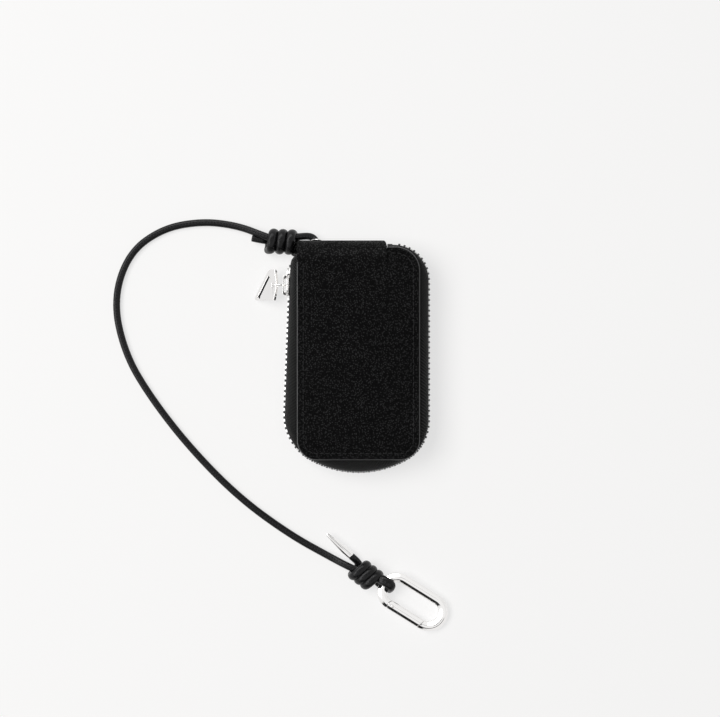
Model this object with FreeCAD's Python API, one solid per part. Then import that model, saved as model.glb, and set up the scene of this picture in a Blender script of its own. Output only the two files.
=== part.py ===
import FreeCAD, Part
import math
import os

# All lengths are millimetres. The case lies on its back on the plane z = 0, the photograph looks down
# the z axis, x runs to the right of the photograph and y runs to its top. The origin is the centre of
# the resting face, half way between the fold of the spine and the bottom edge.

V = FreeCAD.Vector

# Case
PANEL_WIDTH = 58.0
PANEL_LENGTH = 104.0
CASE_DEPTH = 22.0
BOTTOM_CORNER_RADIUS = 9.5
TOP_CORNER_RADIUS = 11.5
SHOULDER_DROP = 3.5
SHOULDER_WIDTH = 15.2
SPINE_SHOULDER_GAP = 0.4
LEATHER_THICKNESS = 1.4
BOARD_THICKNESS = 0.6
LINING_THICKNESS = 0.8
LINING_INSET = 1.2
LAYER_END_GAP = 0.6
FOLD_HALF_GAP = 0.15

# Zip tape and teeth
TAPE_THICKNESS = 0.6
TAPE_INSET = 0.3
FLANGE_WIDTH = 6.2
BOARD_GAP = 0.3
TAPE_UPRIGHT = 4.8
TAPE_EDGE_FROM_MIDDLE = 1.2
CHAIN_LEFT_BULGE_TOP = 2.9
CHAIN_LEFT_BULGE_FOOT = 6.1
CHAIN_RIGHT_BULGE = 3.9
CHAIN_BOTTOM_BULGE = 5.5
CHAIN_BOTTOM_SAG = 5.5
CHAIN_BOTTOM_HALF_CHORD = 22.0
CHAIN_TOP_BULGE = 1.0
CHAIN_TOP_RUN = 2.6
CHAIN_TOP_GAP = 0.4
TOOTH_PITCH = 2.5
TOOTH_LENGTH = 1.05
TOOTH_THICKNESS = 1.9
TOOTH_REACH = 3.0
TOOTH_HEAD = 0.5
TOOTH_TAPE_CLEARANCE = 0.05
STOP_LENGTH = 1.2
STOP_WALL = 0.55
STOP_REACH = 3.2
END_STOP_LENGTH = 2.4

# Slider, pull link and pull tab
SLIDER_FROM_TAPE_END = 1.9
SLIDER_LENGTH = 13.4
SLIDER_HALF_WIDTH = 4.3
SLIDER_NOSE_HALF_WIDTH = 2.4
SLIDER_SHOULDER = 3.4
SLIDER_PLATE = 0.75
SLIDER_CHANNEL = 1.1
SLIDER_SLIT = 0.55
SLIDER_FLANGE = 0.95
WEDGE_LENGTH = 3.8
WEDGE_HALF_WIDTH = 0.85
WEDGE_START = 0.6
CROWN_CENTRE = 8.2
CROWN_OPENING = 6.4
CROWN_FOOT = 1.6
CROWN_CLEAR_HEIGHT = 1.15
CROWN_BAR = 0.65
CROWN_HALF_WIDTH = 0.8
LINK_RADIUS = 3.1
LINK_WIRE = 0.8
LINK_SEAT_GAP = 0.15
TAB_DROOP = 40.0
TAB_THICKNESS = 1.6
TAB_EYE_RADIUS = 1.0
TAB_EYE_WALL = 0.9
TAB_NECK_HALF_WIDTH = 1.4
TAB_HIP_STEP = 1.2
TAB_HALF_WIDTH = 7.4
TAB_UPPER_SIDE = 4.1
TAB_LOWER_SIDE = 13.2
TAB_CORNER_RADIUS = 1.3
TAB_SLOT_LENGTH = 12.0
TAB_SLOT_WIDTH = 1.4
TAB_SLOT_FROM_END = 2.3

# Key hooks inside
RAIL_LENGTH = 39.0
RAIL_DEPTH = 8.0
RAIL_THICKNESS = 0.8
RAIL_FROM_SPINE = 1.5
LUG_THICKNESS = 1.5
LUG_LENGTH = 6.4
LUG_RADIUS = 1.9
HOOK_COUNT = 4
HOOK_PITCH = 9.2
ROD_RADIUS = 0.8
ROD_CLEARANCE = 0.05
ROD_PRESS_GAP = 0.01
ROD_FROM_RAIL = 3.2
HOOK_EYE_RADIUS = 1.7
HOOK_EYE_WIDTH = 4.6
HOOK_SHANK_THICKNESS = 1.5
HOOK_SHANK_WIDTH = 2.6
HOOK_LENGTH = 23.0
HOOK_BOW_RADIUS = 3.4
HOOK_BOW_GAP = 2.4
HOOK_FLOOR_GAP = 0.1
RIVET_HEAD_RADIUS = 2.2
RIVET_HEAD_HEIGHT = 0.9
RIVET_SHANK_RADIUS = 1.2
RIVET_SPACING = 30.0
RIVET_CLEARANCE = 0.05

# Eyelet for the cord
EYELET_FROM_LEFT = 9.0
EYELET_ANGLE = 32.0
EYELET_BORE = 2.5
EYELET_WALL = 0.4
EYELET_HOLE_GAP = 0.1
EYELET_FLANGE_RADIUS = 4.0
EYELET_ROLL_RADIUS = 3.5
EYELET_FLANGE = 0.6
EYELET_SEAT_GAP = 0.1
EYELET_ROLL_DEPTH = 0.9

# Cord and its two knots
CORD_DIAMETER = 3.3
CORD_FLOOR_GAP = 0.05
COIL_RADIUS = 4.45
COIL_PITCH = 4.3
COIL_CORNER_RADIUS = 3.7
TAIL_LENGTH = 5.0
CASE_LEAD_IN = 9.6
FILLET_SHARE = 0.45
CASE_KNOT_FROM_LEFT = -4.3
CASE_KNOT_FROM_FOLD = -0.4
CASE_KNOT_LEAN = 8.0
CASE_KNOT_START_ANGLE = 75.0
CASE_KNOT_END_ANGLE = -840.0
HOOK_KNOT_FROM_RING = -20.5
HOOK_KNOT_START_ANGLE = -90.0
HOOK_KNOT_END_ANGLE = -1120.0
TIP_LENGTH = 16.0
TIP_WALL = 0.25
TIP_SOCKET = 4.0
TIP_END_RADIUS = 0.7

# Carabiner
RING_X = 26.0
RING_Y = -120.85
RING_ANGLE = -32.5
RING_LENGTH = 37.1
RING_WIDTH = 18.5
RING_SECTION = 4.6
RING_CORD_GAP = 0.1
RING_FLOOR_GAP = 0.05
GATE_PIVOT_FROM_END = 1.7
GATE_TONGUE_THICKNESS = 1.6
GATE_TONGUE_RADIUS = 2.0
GATE_CHEEK_GAP = 0.1
GATE_END_GAP = 0.25
GATE_SLOT_PAST_PIVOT = 2.4
GATE_TIP_FROM_END = 0.8
GATE_TIP_GAP = 0.3
GATE_TIP_SLANT = 18.0
GATE_PIN_RADIUS = 0.7
GATE_PIN_PRESS_GAP = 0.01
GATE_PIN_RUNNING_GAP = 0.05
GATE_BORE_RADIUS = 1.25
GATE_BORE_DEPTH = 10.4
PLUNGER_RADIUS = 1.15
PLUNGER_LENGTH = 2.2
PLUNGER_GAP = 0.15
SPRING_WIRE = 0.35
SPRING_COIL_RADIUS = 0.85
SPRING_PITCH = 0.95
SPRING_TURNS = 6

HALF_WIDTH = PANEL_WIDTH / 2
FOLD_Y = PANEL_LENGTH / 2
BOTTOM_Y = -PANEL_LENGTH / 2
MIDDLE_Z = CASE_DEPTH / 2
SPINE_CENTRE_Y = FOLD_Y - MIDDLE_Z
SHOULDER_Y = FOLD_Y - SHOULDER_DROP
SHOULDER_X = HALF_WIDTH - SHOULDER_WIDTH
SPINE_RIGHT_X = SHOULDER_X - SPINE_SHOULDER_GAP
SPINE_WIDTH = SPINE_RIGHT_X + HALF_WIDTH
EYELET_X = -HALF_WIDTH + EYELET_FROM_LEFT
BOARD_Z = LEATHER_THICKNESS
LINING_Z = BOARD_Z + BOARD_THICKNESS
FLOOR_Z = LINING_Z + LINING_THICKNESS
UP = V(0, 0, 1)
STRAIGHT_ENOUGH = 1e-7
SAME_WAY = 1


def unit(vector):
    return vector * (1.0 / vector.Length)


def polar(angle, radius):
    turned = math.radians(angle)
    return V(radius * math.cos(turned), radius * math.sin(turned), 0)


def placed(shape, origin, x_axis, y_axis, z_axis):
    matrix = FreeCAD.Matrix(x_axis.x, y_axis.x, z_axis.x, origin.x,
                            x_axis.y, y_axis.y, z_axis.y, origin.y,
                            x_axis.z, y_axis.z, z_axis.z, origin.z,
                            0, 0, 0, 1)
    result = shape.copy()
    result.Placement = FreeCAD.Placement(matrix)
    return result


def box(x_from, x_to, y_from, y_to, z_from, z_to):
    return Part.makeBox(x_to - x_from, y_to - y_from, z_to - z_from, V(x_from, y_from, z_from))


def polygon_face(points):
    return Part.Face(Part.makePolygon(list(points) + [points[0]]))


def merged(shapes):
    result = shapes[0]
    for shape in shapes[1:]:
        result = result.fuse(shape)
    return result.removeSplitter()


def save(shape, node):
    if not shape.isValid():
        raise RuntimeError(node + " is not a valid shape")
    shape.exportStep("parts/" + node + ".step")
    print(node, "solids", len(shape.Solids), "volume", round(shape.Volume, 2))


# Flat paths made of straight stretches and left-hand arcs, walked anticlockwise round the case


def straight(start, end):
    return {"start": start, "end": end, "centre": None}


def bend(start, end, centre):
    return {"start": start, "end": end, "centre": centre}


def outward(segment, point):
    if segment["centre"] is None:
        heading = unit(segment["end"] - segment["start"])
        return V(heading.y, -heading.x, 0)
    return unit(point - segment["centre"])


def shifted(segment, distance):
    start = segment["start"] + outward(segment, segment["start"]) * distance
    end = segment["end"] + outward(segment, segment["end"]) * distance
    return {"start": start, "end": end, "centre": segment["centre"]}


def middle_of(segment):
    centre = segment["centre"]
    radius = (segment["start"] - centre).Length
    return centre + unit(segment["start"] + segment["end"] - centre * 2) * radius


def edge_of(segment, height):
    lift = V(0, 0, height)
    if segment["centre"] is None:
        return Part.LineSegment(segment["start"] + lift, segment["end"] + lift).toShape()
    return Part.Arc(segment["start"] + lift, middle_of(segment) + lift, segment["end"] + lift).toShape()


def length_of(segment):
    if segment["centre"] is None:
        return (segment["end"] - segment["start"]).Length
    return edge_of(segment, 0).Length


def station(path, distance):
    # Point, heading and outward direction at a distance along the path.
    left = distance
    for segment in path:
        size = length_of(segment)
        if left <= size or segment is path[-1]:
            break
        left -= size
    if segment["centre"] is None:
        heading = unit(segment["end"] - segment["start"])
        return segment["start"] + heading * left, heading, outward(segment, segment["start"])
    spoke = segment["start"] - segment["centre"]
    turned = FreeCAD.Rotation(UP, math.degrees(left / spoke.Length)).multVec(spoke)
    out = unit(turned)
    return segment["centre"] + turned, V(-out.y, out.x, 0), out


def banded_solid(profile, cap_sides):
    # A solid whose section is a closed list of (path, outward shift, height) corners. Neighbouring corners
    # are joined by ruled bands along the paths, and each end is closed by four-sided caps.
    def band_edge(corner, index):
        path, shift, height = corner
        return edge_of(shifted(path[index], shift), height)

    def rim_point(corner, index, end):
        path, shift, height = corner
        return shifted(path[index], shift)[end] + UP * height

    faces = []
    for corner, following in zip(profile, profile[1:] + profile[:1]):
        for index in range(len(corner[0])):
            first, second = band_edge(corner, index), band_edge(following, index)
            faces.append(Part.makeRuledSurface(first, second, SAME_WAY))
    for index, end in ((0, "start"), (-1, "end")):
        for sides in cap_sides:
            first, second, third, fourth = [rim_point(profile[side], index, end) for side in sides]
            low = Part.LineSegment(first, second).toShape()
            high = Part.LineSegment(fourth, third).toShape()
            faces.append(Part.makeRuledSurface(low, high, SAME_WAY))
    shell = Part.makeShell(faces)
    shell.sewShape()
    solid = Part.makeSolid(shell)
    if solid.Volume < 0:
        solid.reverse()
    return solid


def corner_arc(corner, before, after, radius):
    # Left-hand fillet between two straight lines that meet at a corner.
    into = unit(corner - before)
    away = unit(after - corner)
    half_turn = into.getAngle(away) / 2
    reach = radius * math.tan(half_turn)
    start = corner - into * reach
    end = corner + away * reach
    centre = start + V(-into.y, into.x, 0) * radius
    return bend(start, end, centre)


def panel_path():
    top_left = V(-HALF_WIDTH, SPINE_CENTRE_Y, 0)
    bottom_left = V(-HALF_WIDTH, BOTTOM_Y, 0)
    bottom_right = V(HALF_WIDTH, BOTTOM_Y, 0)
    top_right = V(HALF_WIDTH, SHOULDER_Y, 0)
    shoulder = V(SHOULDER_X, SHOULDER_Y, 0)
    first = corner_arc(bottom_left, top_left, bottom_right, BOTTOM_CORNER_RADIUS)
    second = corner_arc(bottom_right, bottom_left, top_right, BOTTOM_CORNER_RADIUS)
    third = corner_arc(top_right, bottom_right, shoulder, TOP_CORNER_RADIUS)
    return [straight(top_left, first["start"]), first,
            straight(first["end"], second["start"]), second,
            straight(second["end"], third["start"]), third,
            straight(third["end"], shoulder)]


def chain_path():
    # The run of the teeth: bulging between the corners of the panels, as the photograph shows it.
    left_top = V(-HALF_WIDTH - CHAIN_LEFT_BULGE_TOP, SPINE_CENTRE_Y - CHAIN_TOP_GAP, 0)
    left_foot = V(-HALF_WIDTH - CHAIN_LEFT_BULGE_FOOT, BOTTOM_Y + BOTTOM_CORNER_RADIUS, 0)
    right_x = HALF_WIDTH + CHAIN_RIGHT_BULGE
    top_y = SHOULDER_Y + CHAIN_TOP_BULGE
    sag_y = BOTTOM_Y - CHAIN_BOTTOM_BULGE
    chord_y = sag_y + CHAIN_BOTTOM_SAG
    sag_radius = (CHAIN_BOTTOM_HALF_CHORD ** 2 + CHAIN_BOTTOM_SAG ** 2) / (2 * CHAIN_BOTTOM_SAG)
    sag_centre = V(0, sag_y + sag_radius, 0)
    sag_left = V(-CHAIN_BOTTOM_HALF_CHORD, chord_y, 0)
    sag_right = V(CHAIN_BOTTOM_HALF_CHORD, chord_y, 0)
    tilt = math.asin(CHAIN_BOTTOM_HALF_CHORD / sag_radius)
    sag_heading_left = V(math.cos(tilt), -math.sin(tilt), 0)
    sag_heading_right = V(math.cos(tilt), math.sin(tilt), 0)

    left_heading = unit(left_foot - left_top)
    cross = left_heading.x * sag_heading_left.y - left_heading.y * sag_heading_left.x
    gap = sag_left - left_top
    along_left = (gap.x * sag_heading_left.y - gap.y * sag_heading_left.x) / cross
    left_corner = left_top + left_heading * along_left
    left_reach = (sag_left - left_corner).Length
    left_radius = left_reach / math.tan(left_heading.getAngle(sag_heading_left) / 2)
    left_arc = corner_arc(left_corner, left_top, sag_left, left_radius)

    right_reach = (right_x - CHAIN_BOTTOM_HALF_CHORD) / math.cos(tilt)
    right_corner = sag_right + sag_heading_right * right_reach
    right_radius = right_reach / math.tan(sag_heading_right.getAngle(V(0, 1, 0)) / 2)
    top_corner = V(right_x, top_y, 0)
    top_end = V(SHOULDER_X, top_y, 0)
    right_arc = corner_arc(right_corner, sag_right, top_corner, right_radius)
    top_radius = right_x - SHOULDER_X - CHAIN_TOP_RUN
    top_arc = corner_arc(top_corner, right_corner, top_end, top_radius)
    return [straight(left_top, left_arc["start"]), left_arc,
            bend(sag_left, sag_right, sag_centre), right_arc,
            straight(right_arc["end"], top_arc["start"]), top_arc,
            straight(top_arc["end"], top_end)]


PANEL_PATH = panel_path()
CHAIN_PATH = chain_path()


def panel_sheet(inset, end_y, height, thickness):
    lift = V(0, 0, height)
    rim = [shifted(segment, -inset) for segment in PANEL_PATH]
    edges = [edge_of(segment, height) for segment in rim]
    first = V(rim[0]["start"].x, end_y, 0)
    last = V(rim[-1]["end"].x, end_y, 0)
    edges[0] = Part.LineSegment(first + lift, rim[0]["end"] + lift).toShape()
    edges.append(Part.LineSegment(rim[-1]["end"] + lift, last + lift).toShape())
    edges.append(Part.LineSegment(last + lift, first + lift).toShape())
    return Part.Face(Part.Wire(Part.__sortEdges__(edges))).extrude(V(0, 0, thickness))


def spine_quarter():
    # Lower half of the rounded fold, from the back panel up to the fold line.
    axis_point = V(-HALF_WIDTH, SPINE_CENTRE_Y, MIDDLE_Z)
    along = V(1, 0, 0)
    tube = Part.makeCylinder(MIDDLE_Z, SPINE_WIDTH, axis_point, along)
    hollow = Part.makeCylinder(MIDDLE_Z - LEATHER_THICKNESS, SPINE_WIDTH, axis_point, along)
    keep = box(-HALF_WIDTH, SPINE_RIGHT_X, SPINE_CENTRE_Y, FOLD_Y, 0, MIDDLE_Z - FOLD_HALF_GAP)
    return tube.cut(hollow).common(keep)


def half_panel():
    flat = panel_sheet(0.0, SPINE_CENTRE_Y, 0.0, LEATHER_THICKNESS)
    return merged([flat, spine_quarter()])


def half_tape():
    # A flange between the leather and the lining, a leaning wall out to the chain, and an upright edge.
    flange_in = TAPE_INSET + FLANGE_WIDTH
    upright_z = MIDDLE_Z - TAPE_UPRIGHT
    edge_z = MIDDLE_Z - TAPE_EDGE_FROM_MIDDLE
    half = TAPE_THICKNESS / 2
    profile = [(PANEL_PATH, -TAPE_INSET, BOARD_Z), (CHAIN_PATH, half, upright_z), (CHAIN_PATH, half, edge_z),
               (CHAIN_PATH, -half, edge_z), (CHAIN_PATH, -half, upright_z),
               (PANEL_PATH, -TAPE_INSET - TAPE_THICKNESS, LINING_Z), (PANEL_PATH, -flange_in, LINING_Z),
               (PANEL_PATH, -flange_in, BOARD_Z)]
    flange_cap = (0, 5, 6, 7)
    wall_cap = (0, 1, 4, 5)
    upright_cap = (1, 2, 3, 4)
    return banded_solid(profile, [flange_cap, wall_cap, upright_cap])


def half_board():
    inset = TAPE_INSET + FLANGE_WIDTH + BOARD_GAP
    return panel_sheet(inset, SPINE_CENTRE_Y - LAYER_END_GAP, BOARD_Z, BOARD_THICKNESS)


def half_lining():
    return panel_sheet(LINING_INSET, SPINE_CENTRE_Y - LAYER_END_GAP, LINING_Z, LINING_THICKNESS)


def mirrored(shape):
    return shape.mirror(V(0, 0, MIDDLE_Z), UP)


# Zip teeth and stops


def tooth():
    half = TOOTH_THICKNESS / 2
    slot = TAPE_THICKNESS / 2 + TOOTH_TAPE_CLEARANCE
    slot_end = -TAPE_EDGE_FROM_MIDDLE + TOOTH_TAPE_CLEARANCE
    body = box(-half, half, -TOOTH_LENGTH / 2, TOOTH_LENGTH / 2, -TOOTH_REACH, TOOTH_HEAD)
    gap = box(-slot, slot, -TOOTH_LENGTH, TOOTH_LENGTH, -TOOTH_REACH * 2, slot_end)
    return body.cut(gap)


def on_chain(shape, distance):
    point, heading, out = station(CHAIN_PATH, distance)
    return placed(shape, point + UP * MIDDLE_Z, out, heading, UP)


CHAIN_LENGTH = sum(length_of(segment) for segment in CHAIN_PATH)
SLIDER_TOP = SLIDER_FROM_TAPE_END
TEETH_START = SLIDER_TOP + SLIDER_LENGTH + TOOTH_PITCH / 2
TEETH_END = CHAIN_LENGTH - END_STOP_LENGTH - TOOTH_LENGTH
TEETH_IN_ROW = int((TEETH_END - TEETH_START) / TOOTH_PITCH)


def teeth_row(shape, first):
    row = [on_chain(shape, first + TOOTH_PITCH * index) for index in range(TEETH_IN_ROW)]
    return Part.makeCompound(row)


def stop_clamp(length):
    slot = TAPE_THICKNESS / 2 + TOOTH_TAPE_CLEARANCE
    half = slot + STOP_WALL
    slot_end = -TAPE_EDGE_FROM_MIDDLE + TOOTH_TAPE_CLEARANCE
    body = box(-half, half, 0, length, -STOP_REACH, slot_end + STOP_WALL)
    gap = box(-slot, slot, -length, length * 2, -STOP_REACH * 2, slot_end)
    return body.cut(gap)


# Slider: x points away from the case, y runs down the chain, z is the depth of the case


SLIDER_POINT, SLIDER_HEADING, SLIDER_OUT = station(CHAIN_PATH, SLIDER_TOP)


def on_slider(shape):
    return placed(shape, SLIDER_POINT + UP * MIDDLE_Z, SLIDER_OUT, SLIDER_HEADING, UP)


def slider_plate(x_from, x_to):
    points = []
    for y, z in ((0, SLIDER_NOSE_HALF_WIDTH), (SLIDER_SHOULDER, SLIDER_HALF_WIDTH),
                 (SLIDER_LENGTH, SLIDER_HALF_WIDTH)):
        points.append(V(x_from, y, z))
    mirror = [V(point.x, point.y, -point.z) for point in reversed(points)]
    return polygon_face(points + mirror).extrude(V(x_to - x_from, 0, 0))


def slider_body():
    outer = SLIDER_CHANNEL + SLIDER_PLATE
    pieces = [slider_plate(SLIDER_CHANNEL, outer), slider_plate(-outer, -SLIDER_CHANNEL)]
    inner_edge = SLIDER_HALF_WIDTH - SLIDER_FLANGE
    for side in (1, -1):
        low, high = sorted((side * inner_edge, side * SLIDER_HALF_WIDTH))
        pieces.append(box(SLIDER_SLIT, SLIDER_CHANNEL, SLIDER_SHOULDER, SLIDER_LENGTH, low, high))
        pieces.append(box(-SLIDER_CHANNEL, -SLIDER_SLIT, SLIDER_SHOULDER, SLIDER_LENGTH, low, high))
    wedge_middle = WEDGE_START + WEDGE_LENGTH / 2
    wedge_points = [V(-SLIDER_CHANNEL, WEDGE_START, 0), V(-SLIDER_CHANNEL, wedge_middle, WEDGE_HALF_WIDTH),
                    V(-SLIDER_CHANNEL, WEDGE_START + WEDGE_LENGTH, 0),
                    V(-SLIDER_CHANNEL, wedge_middle, -WEDGE_HALF_WIDTH)]
    pieces.append(polygon_face(wedge_points).extrude(V(2 * SLIDER_CHANNEL, 0, 0)))
    return merged(pieces)


CROWN_BASE = SLIDER_CHANNEL + SLIDER_PLATE
CROWN_TOP = CROWN_BASE + CROWN_CLEAR_HEIGHT + CROWN_BAR


def slider_crown():
    half = CROWN_OPENING / 2 + CROWN_FOOT
    block = box(CROWN_BASE, CROWN_TOP, CROWN_CENTRE - half, CROWN_CENTRE + half,
                -CROWN_HALF_WIDTH, CROWN_HALF_WIDTH)
    opening = box(CROWN_BASE - CROWN_BAR, CROWN_BASE + CROWN_CLEAR_HEIGHT,
                  CROWN_CENTRE - CROWN_OPENING / 2, CROWN_CENTRE + CROWN_OPENING / 2,
                  -CROWN_HALF_WIDTH * 2, CROWN_HALF_WIDTH * 2)
    return block.cut(opening)


LINK_SEAT = CROWN_BASE + LINK_SEAT_GAP + LINK_WIRE / 2
LINK_PIVOT = (SLIDER_POINT + UP * MIDDLE_Z + SLIDER_OUT * LINK_SEAT + SLIDER_HEADING * CROWN_CENTRE)
LINK_OUT = SLIDER_OUT
LINK_SIDE = UP.cross(LINK_OUT)
LINK_CENTRE = LINK_PIVOT + LINK_OUT * LINK_RADIUS


def pull_link():
    return Part.makeTorus(LINK_RADIUS, LINK_WIRE / 2, LINK_CENTRE, LINK_SIDE)


TAB_OUT = LINK_OUT * math.cos(math.radians(TAB_DROOP)) - UP * math.sin(math.radians(TAB_DROOP))
TAB_FACE = TAB_OUT.cross(LINK_SIDE)


def pull_tab():
    """Flag-shaped plate: its far end slants from a short upper side to a long lower side."""
    half = TAB_THICKNESS / 2
    near = LINK_RADIUS - TAB_EYE_RADIUS - TAB_EYE_WALL
    hip = near + TAB_HIP_STEP
    upper_far = V(hip + TAB_UPPER_SIDE, -TAB_HALF_WIDTH, -half)
    lower_far = V(hip + TAB_LOWER_SIDE, TAB_HALF_WIDTH, -half)
    points = [V(near, -TAB_NECK_HALF_WIDTH, -half), V(hip, -TAB_HALF_WIDTH, -half), upper_far, lower_far,
              V(hip, TAB_HALF_WIDTH, -half), V(near, TAB_NECK_HALF_WIDTH, -half)]
    plate = polygon_face(points).extrude(V(0, 0, TAB_THICKNESS))
    far_corners = []
    for edge in plate.Edges:
        first, last = edge.Vertexes[0].Point, edge.Vertexes[-1].Point
        if abs(first.z - last.z) > half and first.x > hip + TAB_UPPER_SIDE / 2:
            far_corners.append(edge)
    plate = plate.makeFillet(TAB_CORNER_RADIUS, far_corners)
    eye = Part.makeCylinder(TAB_EYE_RADIUS, TAB_THICKNESS * 2, V(LINK_RADIUS, 0, -TAB_THICKNESS))
    along = (lower_far - upper_far).normalize()
    inward = UP.cross(along)
    slot_middle = (upper_far + lower_far) * 0.5 + inward * TAB_SLOT_FROM_END - UP * half
    slot_half = along * (TAB_SLOT_LENGTH / 2)
    slot_edge = inward * (TAB_SLOT_WIDTH / 2)
    slot = polygon_face([slot_middle - slot_half - slot_edge, slot_middle + slot_half - slot_edge,
                         slot_middle + slot_half + slot_edge, slot_middle - slot_half + slot_edge])
    plate = plate.cut(eye).cut(slot.extrude(UP * (TAB_THICKNESS * 2)))
    return placed(plate, LINK_CENTRE, TAB_OUT, LINK_SIDE, TAB_FACE)


# Key rail, its rod and the four key hooks


RAIL_TOP_EDGE = SPINE_CENTRE_Y - RAIL_FROM_SPINE
ROD_Y = RAIL_TOP_EDGE - RAIL_DEPTH - ROD_FROM_RAIL
ROD_Z = FLOOR_Z + HOOK_EYE_RADIUS + HOOK_FLOOR_GAP


def hook_x(index):
    return HOOK_PITCH * (index - (HOOK_COUNT - 1) / 2)


def rivet_points():
    y = RAIL_TOP_EDGE - RAIL_DEPTH / 2
    return [V(-RIVET_SPACING / 2, y, 0), V(RIVET_SPACING / 2, y, 0)]


def with_rivet_holes(sheet):
    for point in rivet_points():
        sheet = sheet.cut(Part.makeCylinder(RIVET_SHANK_RADIUS + RIVET_CLEARANCE, CASE_DEPTH, point))
    return sheet


def key_rail():
    half = RAIL_LENGTH / 2
    pieces = [box(-half, half, RAIL_TOP_EDGE - RAIL_DEPTH, RAIL_TOP_EDGE, FLOOR_Z, FLOOR_Z + RAIL_THICKNESS)]
    lug_centres = [HOOK_PITCH * (index - HOOK_COUNT / 2) for index in range(HOOK_COUNT + 1)]
    for centre in lug_centres:
        x_from = centre - LUG_THICKNESS / 2
        x_to = centre + LUG_THICKNESS / 2
        pieces.append(box(x_from, x_to, ROD_Y, ROD_Y + LUG_LENGTH, FLOOR_Z, ROD_Z + LUG_RADIUS))
        pieces.append(Part.makeCylinder(LUG_RADIUS - HOOK_FLOOR_GAP, LUG_THICKNESS, V(x_from, ROD_Y, ROD_Z),
                                        V(1, 0, 0)))
    rail = with_rivet_holes(merged(pieces))
    bore = Part.makeCylinder(ROD_RADIUS + ROD_PRESS_GAP, RAIL_LENGTH * 2,
                             V(-RAIL_LENGTH, ROD_Y, ROD_Z), V(1, 0, 0))
    return rail.cut(bore)


def rail_rod():
    half = HOOK_PITCH * HOOK_COUNT / 2 + LUG_THICKNESS / 2
    return Part.makeCylinder(ROD_RADIUS, half * 2, V(-half, ROD_Y, ROD_Z), V(1, 0, 0))


def rail_rivets():
    rivets = []
    for point in rivet_points():
        head = Part.makeCylinder(RIVET_HEAD_RADIUS, RIVET_HEAD_HEIGHT,
                                 point + UP * (FLOOR_Z + RAIL_THICKNESS))
        shank_length = FLOOR_Z + RAIL_THICKNESS - BOARD_Z
        shank = Part.makeCylinder(RIVET_SHANK_RADIUS, shank_length, point + UP * BOARD_Z)
        rivets.append(merged([head, shank]))
    return Part.makeCompound(rivets)


def key_hook(index):
    x = hook_x(index)
    shank_low = FLOOR_Z + HOOK_FLOOR_GAP
    eye_start = V(x - HOOK_EYE_WIDTH / 2, ROD_Y, ROD_Z)
    eye = Part.makeCylinder(HOOK_EYE_RADIUS, HOOK_EYE_WIDTH, eye_start, V(1, 0, 0))
    bow_y = ROD_Y - HOOK_LENGTH + HOOK_BOW_RADIUS
    wire = HOOK_SHANK_THICKNESS
    shank = box(x - HOOK_SHANK_WIDTH / 2, x + HOOK_SHANK_WIDTH / 2, bow_y + HOOK_BOW_RADIUS - wire, ROD_Y,
                shank_low, shank_low + wire)
    bow = Part.makeCylinder(HOOK_BOW_RADIUS, wire, V(x, bow_y, shank_low))
    inside = Part.makeCylinder(HOOK_BOW_RADIUS - wire, wire, V(x, bow_y, shank_low))
    mouth = box(x + wire / 2, x + HOOK_BOW_RADIUS * 2, bow_y - HOOK_BOW_GAP / 2, bow_y + HOOK_BOW_GAP / 2,
                shank_low, shank_low + wire)
    hook = merged([eye, shank, bow.cut(inside).cut(mouth)])
    return hook.cut(Part.makeCylinder(ROD_RADIUS + ROD_CLEARANCE, HOOK_EYE_WIDTH * 2,
                                      V(x - HOOK_EYE_WIDTH, ROD_Y, ROD_Z), V(1, 0, 0)))


# Eyelet through the lower half of the fold


EYELET_OUT = V(0, math.cos(math.radians(EYELET_ANGLE)), -math.sin(math.radians(EYELET_ANGLE)))


def from_fold_axis(x, distance):
    return V(x, SPINE_CENTRE_Y, MIDDLE_Z) + EYELET_OUT * distance


def cord_eyelet():
    outer = EYELET_BORE + EYELET_WALL
    flange_at = MIDDLE_Z + EYELET_SEAT_GAP
    roll_at = MIDDLE_Z - LEATHER_THICKNESS - EYELET_ROLL_DEPTH
    barrel = Part.makeCylinder(outer, flange_at - roll_at, from_fold_axis(EYELET_X, roll_at), EYELET_OUT)
    flange = Part.makeCylinder(EYELET_FLANGE_RADIUS, EYELET_FLANGE,
                               from_fold_axis(EYELET_X, flange_at), EYELET_OUT)
    roll = Part.makeCylinder(EYELET_ROLL_RADIUS, EYELET_FLANGE,
                             from_fold_axis(EYELET_X, roll_at - EYELET_FLANGE), EYELET_OUT)
    bore = Part.makeCylinder(EYELET_BORE, CASE_DEPTH, from_fold_axis(EYELET_X, 0), EYELET_OUT)
    return merged([barrel, flange, roll]).cut(bore)


def eyelet_hole():
    return Part.makeCylinder(EYELET_BORE + EYELET_WALL + EYELET_HOLE_GAP, CASE_DEPTH,
                             from_fold_axis(EYELET_X, 0), EYELET_OUT)


# Round wires and cords along space curves


def arc_middle(start, tangent, end):
    # Middle of the circular arc that starts along a tangent and ends at a point; None for a straight line.
    chord = end - start
    side = chord - tangent * chord.dot(tangent)
    if side.Length < chord.Length * STRAIGHT_ENOUGH:
        return None
    radius = chord.Length ** 2 / (2 * side.Length)
    half_sweep = math.atan2(side.Length, chord.dot(tangent))
    middle = start + tangent * (radius * math.sin(half_sweep))
    return middle + unit(side) * (radius * (1 - math.cos(half_sweep)))


def curve_through(start, middle, end):
    if middle is None:
        return Part.LineSegment(start, end).toShape()
    return Part.Arc(start, middle, end).toShape()


def arc_leaving(start, tangent, end):
    return curve_through(start, arc_middle(start, tangent, end), end)


def arc_arriving(start, end, tangent):
    return curve_through(start, arc_middle(end, tangent * -1, start), end)


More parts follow.
